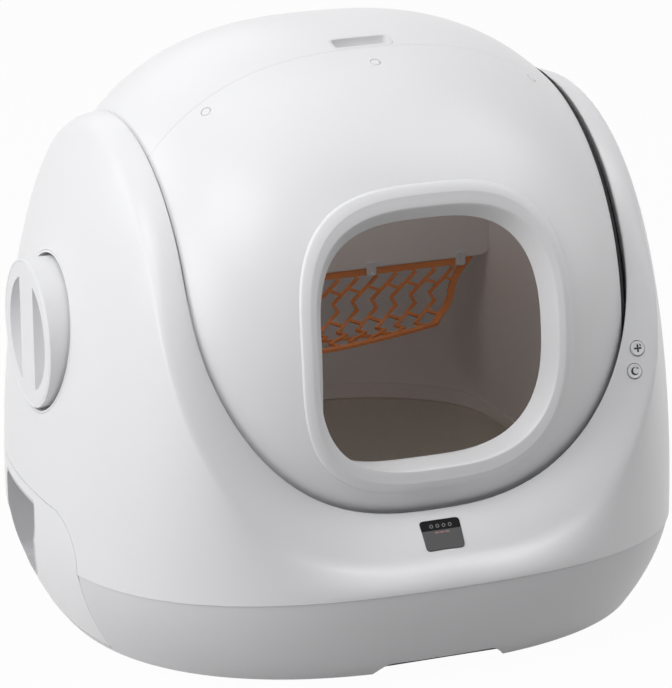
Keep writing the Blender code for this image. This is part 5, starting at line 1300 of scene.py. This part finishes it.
def make_body():
    cradle = thick_sheet("cradle_skin", cradle_columns(), BODY_WALL, (-1,), WHITE)
    reach = BODY_HALF_WIDTH + OVERRUN
    inner_x = -DRUM_HALF_LENGTH - KNOB_HOLE_DEPTH
    radius = KNOB_WELL_RADIUS + FIT_GAP
    profile = [(-reach, 0.0), (-reach, radius), (inner_x, radius), (inner_x, 0.0)]
    point, normal, along, down = band_frame(0.0, LENS_BAND_SHARE)
    lens_hole = prism("lens_hole", lens_outline(FIT_GAP), "XY", -OVERRUN / 3, OVERRUN / 3)
    tools = [drawer_hole("cradle_drawer_hole"), turned("knob_hole", profile, WELL_SEGMENTS),
             placed(lens_hole, point, along, -down, normal),
             prism("cover_hole", cover_outline(COVER_GAP), "XZ", 0.0, BODY_REAR + OVERRUN)]
    for angle, share in zip(BUTTON_ANGLES, BUTTON_BAND_SHARES):
        place, out, _, _ = band_frame(bend_of_angle(angle), share)
        tools.append(cylinder("button_hole", BUTTON_RADIUS + RUNNING_GAP, -OVERRUN / 3, OVERRUN / 3,
                              place, out, BUTTON_SEGMENTS))
    cut(cradle, *tools)
    fit(cradle, "base", "white_shell", "cradle_shell")

    skirt = thick_sheet("skirt_skin", skirt_columns(), BODY_WALL, (0, -1), SKIRT_GREY)
    foot, low, high = NOTCH_FOOT_HALF, SKIRT_BOTTOM_Z, SKIRT_BOTTOM_Z + NOTCH_HEIGHT
    outline = [(-foot, low - OVERRUN), (foot, low - OVERRUN), (foot, low), (NOTCH_TOP_HALF, high),
               (-NOTCH_TOP_HALF, high), (-foot, low)]
    rounds = [0.0, NOTCH_FOOT_ROUND, NOTCH_TOP_ROUND, NOTCH_TOP_ROUND, NOTCH_FOOT_ROUND]
    notch = prism("front_notch", filleted(outline, rounds), "XZ", -BODY_FRONT - OVERRUN, -SKIRT_FRONT / 2)
    cut(skirt, drawer_hole("skirt_drawer_hole"), notch)
    fit(skirt, "base", "grey_skirt", "base_skirt")


def make_knob_well():
    outer, inner = KNOB_WELL_RADIUS, KNOB_WELL_RADIUS - KNOB_WELL_WALL
    floor_x, mouth = KNOB_WELL_FLOOR_X, -BODY_HALF_WIDTH
    back_x = floor_x + KNOB_WELL_WALL
    profile = [(mouth, inner), (floor_x - WELL_FOOT, inner), (floor_x, inner - WELL_FOOT),
               (floor_x, SPINDLE_BORE), (back_x, SPINDLE_BORE), (back_x, outer), (mouth, outer)]
    well = turned("knob_cup", profile, WELL_SEGMENTS, WHITE_TRIM, hollow=True)
    keep(well, body_core("well_core", 0.0))
    fit(well, "base", "grey_inner", "knob_well")


def make_knob():
    face = -BODY_HALF_WIDTH
    back = face + KNOB_HEIGHT
    groove, g = KNOB_GROOVE_RADIUS, KNOB_GROOVE
    floor_x = face + KNOB_RECESS_DEPTH + KNOB_WALL
    profile = [(face, groove - g), (face + g, groove - g / 2), (face + g, groove + g / 2), (face, groove + g)]
    profile += filleted([(face, groove + g), (face, KNOB_RADIUS), (back, KNOB_RADIUS)], [KNOB_EDGE], 8)[1:]
    profile += [(back, KNOB_RADIUS - KNOB_WALL), (floor_x, KNOB_RADIUS - KNOB_WALL)]
    knob = loft("knob_dial", turned_rings(profile, KNOB_SEGMENTS), WHITE_TRIM)
    tools = []
    edge_turn = math.acos(KNOB_BAR_HALF / KNOB_RECESS_RADIUS)
    for side in (-1, 1):
        arc = [(side * KNOB_RECESS_RADIUS * math.cos(a), KNOB_RECESS_RADIUS * math.sin(a))
               for a in spread(-edge_turn, edge_turn, KNOB_RECESS_STEPS)]
        tools.append(prism("knob_recess", arc, "YZ", face - OVERRUN, face + KNOB_RECESS_DEPTH))
    cut(knob, *tools)
    soften(knob, KNOB_BEVEL, 4, SHARP_ONLY)
    fit(knob, "knob", "white_trim", "lock_knob")


def make_drawer():
    reach = BODY_HALF_WIDTH + OVERRUN
    front = prism("drawer_skin", drawer_outline(-DRAWER_GAP), "YZ", -reach, -SKIRT_HALF_WIDTH / 3, WHITE)
    body_skin(front, "drawer", DRAWER_SKIN)
    cut(front, prism("grip_hole", grip_outline(FIT_GAP), "YZ", -reach, GRIP_FLOOR_X + OVERRUN))
    fit(front, "drawer", "white_shell", "drawer_front")
    # The cup's darker grey is painted shade of the scoop
    cup = prism("grip_cup", grip_outline(0.0), "YZ", -reach, GRIP_FLOOR_X + GRIP_WALL, GRIP_PAINTED_SHADE)
    keep(cup, body_core("grip_core", 0.0))
    cut(cup, prism("grip_pocket", grip_outline(-GRIP_WALL), "YZ", -reach - OVERRUN, GRIP_FLOOR_X))
    soften(cup, GRIP_BEVEL, 4, SHARP_ONLY)
    fit(cup, "drawer", "grey_inner", "drawer_grip")


def make_rear_cover():
    cover = prism("rear_hatch", cover_outline(0.0), "XZ", 0.0, BODY_REAR + OVERRUN, WHITE)
    body_skin(cover, "cover", BODY_WALL)
    tools = [cylinder("jack_hole", JACK_RADIUS + FIT_GAP, -OVERRUN * 3, OVERRUN, (JACK_X, BODY_REAR, JACK_Z),
                      (0.0, 1.0, 0.0))]
    middle_z = (COVER_LOW_Z + COVER_TOP_Z) / 2
    low, high = middle_z - VENT_HALF_HEIGHT, middle_z + VENT_HALF_HEIGHT
    for k in range(VENT_COUNT):
        x = VENT_X + k * VENT_PITCH
        outline = rounded_outline((x - VENT_HALF_WIDTH, low), (x + VENT_HALF_WIDTH, high),
                                  VENT_HALF_WIDTH * VENT_ROUND_SHARE, steps=5)
        tools.append(prism("vent_%d" % k, outline, "XZ", BODY_REAR / 2, BODY_REAR + OVERRUN))
    cut(cover, *tools)
    fit(cover, "base", "white_shell", "rear_cover")


# Controls

def degrees_spread(turns, steps):
    return spread(math.radians(turns[0]), math.radians(turns[1]), steps)


def crescent_outline(radius, steps=20):
    shift = [radius * share for share in CRESCENT_SHIFT_SHARES]
    outer = arc((0.0, 0.0), radius, degrees_spread(CRESCENT_OUTER_TURNS, steps))
    return outer + arc(shift, radius * CRESCENT_INNER_SHARE, degrees_spread(CRESCENT_INNER_TURNS, steps))


def petal_outline(radius, petals=4, steps=64):
    """A rounded flower."""
    points = []
    for turn in full_turns(steps):
        reach = radius * (PETAL_MIDDLE_SHARE + PETAL_WAVE_SHARE * math.cos(petals * turn))
        points.append((reach * math.cos(turn), reach * math.sin(turn)))
    return points


def make_buttons():
    marks = (("upper", petal_outline(PETAL_RADIUS)), ("lower", crescent_outline(CRESCENT_RADIUS)))
    spot_outline = arc(SPOT_PLACE, SPOT_RADIUS, full_turns(SPOT_SEGMENTS))
    low, high = BUTTON_PROUD - BUTTON_MARK_LOW, BUTTON_PROUD - BUTTON_MARK_HIGH
    radius = BUTTON_RADIUS + RUNNING_GAP - BUTTON_GROOVE
    profile = [(BUTTON_PROUD - drop * MM, radius * share) for drop, share in BUTTON_FACE]
    profile += [(-BUTTON_LENGTH, radius), (-BUTTON_LENGTH, 0.0)]
    for (name, outline), angle, share in zip(marks, BUTTON_ANGLES, BUTTON_BAND_SHARES):
        body = name + "_button"
        point, normal, _, _ = band_frame(bend_of_angle(angle), share)
        button = stood(turned("button_cap_" + name, profile, BUTTON_SEGMENTS, WHITE_TRIM), point, normal)
        fit(button, body, "white_trim", body)
        up = (Z_AXIS - normal * normal.z).normalized()
        side = up.cross(normal).normalized()
        mark = prism("button_mark_" + name, outline, "XY", low, high, GLYPH)
        spot = prism("button_spot_" + name, spot_outline, "XY", low, high, GLYPH)
        for piece in (mark, spot):
            fit(placed(piece, point, side, up, normal), body, "dark_plastic")


def lens_material(down, point):
    """Smoked glass over a dark strip at the top and a paler screen below."""
    finish = Finish("lens_smoked", (0.10, 0.10, 0.102), 0.12, specular=0.15)
    dot = add_node(finish.tree, "VectorMath", {1: down}, {0: finish.coordinates})
    dot.operation = "DOT_PRODUCT"
    middle = (AXIS_POINT + point).dot(down)
    limits = {"From Min": middle - LENS_STRIP_LOW, "From Max": middle - LENS_STRIP_HIGH}
    ramp = add_node(finish.tree, "MapRange", limits, {"Value": dot.outputs["Value"]})
    dark, pale = (0.006, 0.006, 0.007, 1.0), (0.115, 0.115, 0.118, 1.0)
    finish.drive("Base Color", colour_mix(finish.tree, ramp.outputs["Result"], dark, pale))
    finish.bump(finish.noise(scale=40.0), strength=0.01, distance=0.1 * MM)
    return finish.mat


def make_display():
    point, normal, along, down = band_frame(0.0, LENS_BAND_SHARE)
    glass = lens_material(down, point)
    lens = prism("lens_glass", lens_outline(0.0), "XY", -LENS_THICKNESS, 0.0, glass)
    placed(lens, point, along, -down, normal)
    soften(lens, LENS_EDGE)
    fit(lens, "base", "smoked_lens", "display_lens")
    x_to_z = Matrix(((0, 1, 0, 0), (0, 0, 1, 0), (1, 0, 0, 0), (0, 0, 0, 1)))
    profile = [(LENS_MARK_LOW, ICON_INNER_RADIUS), (LENS_MARK_HIGH, ICON_INNER_RADIUS),
               (LENS_MARK_HIGH, ICON_OUTER_RADIUS), (LENS_MARK_LOW, ICON_OUTER_RADIUS)]
    for k in range(ICON_COUNT):
        x = (k - (ICON_COUNT - 1) / 2) * ICON_PITCH
        ring = turned("lens_icon_%d" % k, profile, ICON_SEGMENTS, GLYPH_DIM, hollow=True)
        move_shape(ring, x_to_z, Vector())
        placed(ring, point + along * x - down * ICON_RISE, along, -down, normal)
        fit(ring, "base", "smoked_lens")
    for k in range(BAR_COUNT):
        x = (k - (BAR_COUNT - 1) / 2) * BAR_PITCH
        outline = rounded_outline((x - BAR_HALF_LENGTH, -BAR_HALF_HEIGHT),
                                  (x + BAR_HALF_LENGTH, BAR_HALF_HEIGHT), BAR_CORNER, steps=4)
        bar = prism("lens_bar_%d" % k, outline, "XY", LENS_MARK_LOW, LENS_MARK_HIGH, GLOW)
        placed(bar, point - down * BAR_RISE, along, -down, normal)
        fit(bar, "base", "smoked_lens")


# CAD nodes that are right as they are get a finish, and fine edges where they show

def dress_nodes():
    feet = ["foot_%s_%s" % (row, side) for row in ("front", "rear") for side in ("left", "right")]
    finishes = (
        (DARK, ["base_plate", "axle_bush_left", "axle_bush_right", "bag_ring"]),
        (INNER_GREY, ["drum_basin", "arm_panel_left", "arm_panel_right", "drawer_tub"]),
        (BOARD, ["control_board", "display_board", "button_board"]),
        (BLACK, ["power_jack", "drum_ring_gear", "drum_end_cap_right"]),
        (STEEL_Y, ["motor_bracket"]),
        (STEEL_X, ["gear_motor", "drawer_rail_front", "drawer_rail_rear", "drive_pinion", "knob_spindle"]),
        (RUBBER, feet),
    )
    for material, names in finishes:
        for name in names:
            node = frame["nodes"][name]
            node.data.materials.clear()
            node.data.materials.append(material)
    for name in ["base_plate", "drawer_tub", "bag_ring", "drum_basin", "motor_bracket", "arm_panel_left",
                 "arm_panel_right"] + feet:
        soften(frame["nodes"][name], NODE_EDGE, 2, SHARP_ONLY)


# Camera, floor and light

def make_camera():
    back = Vector((math.sin(CAMERA_AZIMUTH) * math.cos(CAMERA_ELEVATION),
                   -math.cos(CAMERA_AZIMUTH) * math.cos(CAMERA_ELEVATION), math.sin(CAMERA_ELEVATION)))
    right = (-back).cross(Z_AXIS).normalized()
    up = right.cross(-back)
    turn = Matrix.Rotation(CAMERA_ROLL, 3, back)
    right, up = turn @ right, turn @ up
    place = AXIS_POINT + back * CAMERA_DISTANCE
    # The drum's centre lies off the picture's middle, so the camera looks a little to its side
    aim = (-back + right * (IMAGE_WIDTH / 2 - DRUM_PIXEL[0]) / CAMERA_FOCAL_PIXELS
           - up * (IMAGE_HEIGHT / 2 - DRUM_PIXEL[1]) / CAMERA_FOCAL_PIXELS).normalized()
    side = aim.cross(up).normalized()
    lens = bpy.data.cameras.new("photo_camera")
    lens.sensor_width = SENSOR
    lens.lens = CAMERA_FOCAL_PIXELS / IMAGE_HEIGHT * SENSOR
    lens.clip_start, lens.clip_end = CAMERA_CLIP
    camera = add_object("photo_camera", lens)
    pose = Matrix((side, side.cross(aim), -aim)).transposed().to_4x4()
    pose.translation = place
    camera.matrix_world = pose
    bpy.context.scene.camera = camera


def path_white(tree, plain, white, share):
    """Mixes a plain shader with white for what the camera, gloss and glass see directly."""
    rays = add_node(tree, "LightPath").outputs
    total = rays["Is Camera Ray"]
    for name in ("Is Glossy Ray", "Is Transmission Ray"):
        add = add_node(tree, "Math", links={0: total, 1: rays[name]})
        add.operation = "ADD"
        add.use_clamp = True
        total = add.outputs["Value"]
    scale = add_node(tree, "Math", {1: share}, {0: total})
    scale.operation = "MULTIPLY"
    links = {"Fac": scale.outputs["Value"], 1: plain, 2: white}
    return add_node(tree, "MixShader", links=links).outputs["Shader"]


def sky_share(tree):
    """White from above, and a fifth of it from below the horizon."""
    place = add_node(tree, "TexCoord").outputs["Generated"]
    height = add_node(tree, "SeparateXYZ", links={"Vector": place}).outputs["Z"]
    limits = {"From Min": SKY_RISE[0], "From Max": SKY_RISE[1], "To Min": SKY_LOW}
    return add_node(tree, "MapRange", limits, {"Value": height}).outputs["Result"]


def make_world():
    world = bpy.data.worlds.new("studio")
    bpy.context.scene.world = world
    world.use_nodes = True
    tree = world.node_tree
    plain = wire(tree, tree.nodes["Background"], {"Strength": SKY_STRENGTH}, {"Color": sky_share(tree)})
    white = add_node(tree, "Background", {"Color": PURE_WHITE, "Strength": 1.0})
    shader = path_white(tree, plain.outputs["Background"], white.outputs["Background"], 1.0)
    tree.links.new(shader, tree.nodes["World Output"].inputs["Surface"])


def make_floor():
    size = FLOOR_REACH
    corners = [(-size, -size, 0.0), (size, -size, 0.0), (size, size, 0.0), (-size, size, 0.0)]
    mesh = bpy.data.meshes.new("studio_floor")
    mesh.from_pydata(corners, [], [(0, 1, 2, 3)])
    floor = add_object("studio_floor", mesh)
    material = bpy.data.materials.new("floor_white")
    material.use_nodes = True
    tree = material.node_tree
    values = {"Base Color": FLOOR_BASE, "Roughness": FLOOR_ROUGHNESS}
    shader = wire(tree, tree.nodes["Principled BSDF"], values)
    glow = add_node(tree, "Emission", {"Color": PURE_WHITE, "Strength": 1.0})
    mixed = path_white(tree, shader.outputs["BSDF"], glow.outputs["Emission"], FLOOR_WHITE_SHARE)
    tree.links.new(mixed, tree.nodes["Material Output"].inputs["Surface"])
    mesh.materials.append(material)


def make_lights():
    for name, place, size, power, aim in LAMPS:
        light = bpy.data.lights.new(name, "AREA")
        light.shape = "RECTANGLE"
        light.size, light.size_y = size
        light.energy = power
        lamp = add_object(name, light)
        lamp.location = place
        lamp.rotation_mode = "QUATERNION"
        lamp.rotation_quaternion = (Vector(aim) - Vector(place)).to_track_quat("-Z", "Y")


make_camera()
make_world()
make_floor()
make_lights()
make_drum()
make_bezel()
make_handle()
make_divider()
make_sieve()
make_linings()
make_liner()
make_left_cap()
make_body()
make_knob_well()
make_knob()
make_drawer()
make_rear_cover()
make_buttons()
make_display()
dress_nodes()

bpy.context.scene.view_settings.view_transform = "Standard"
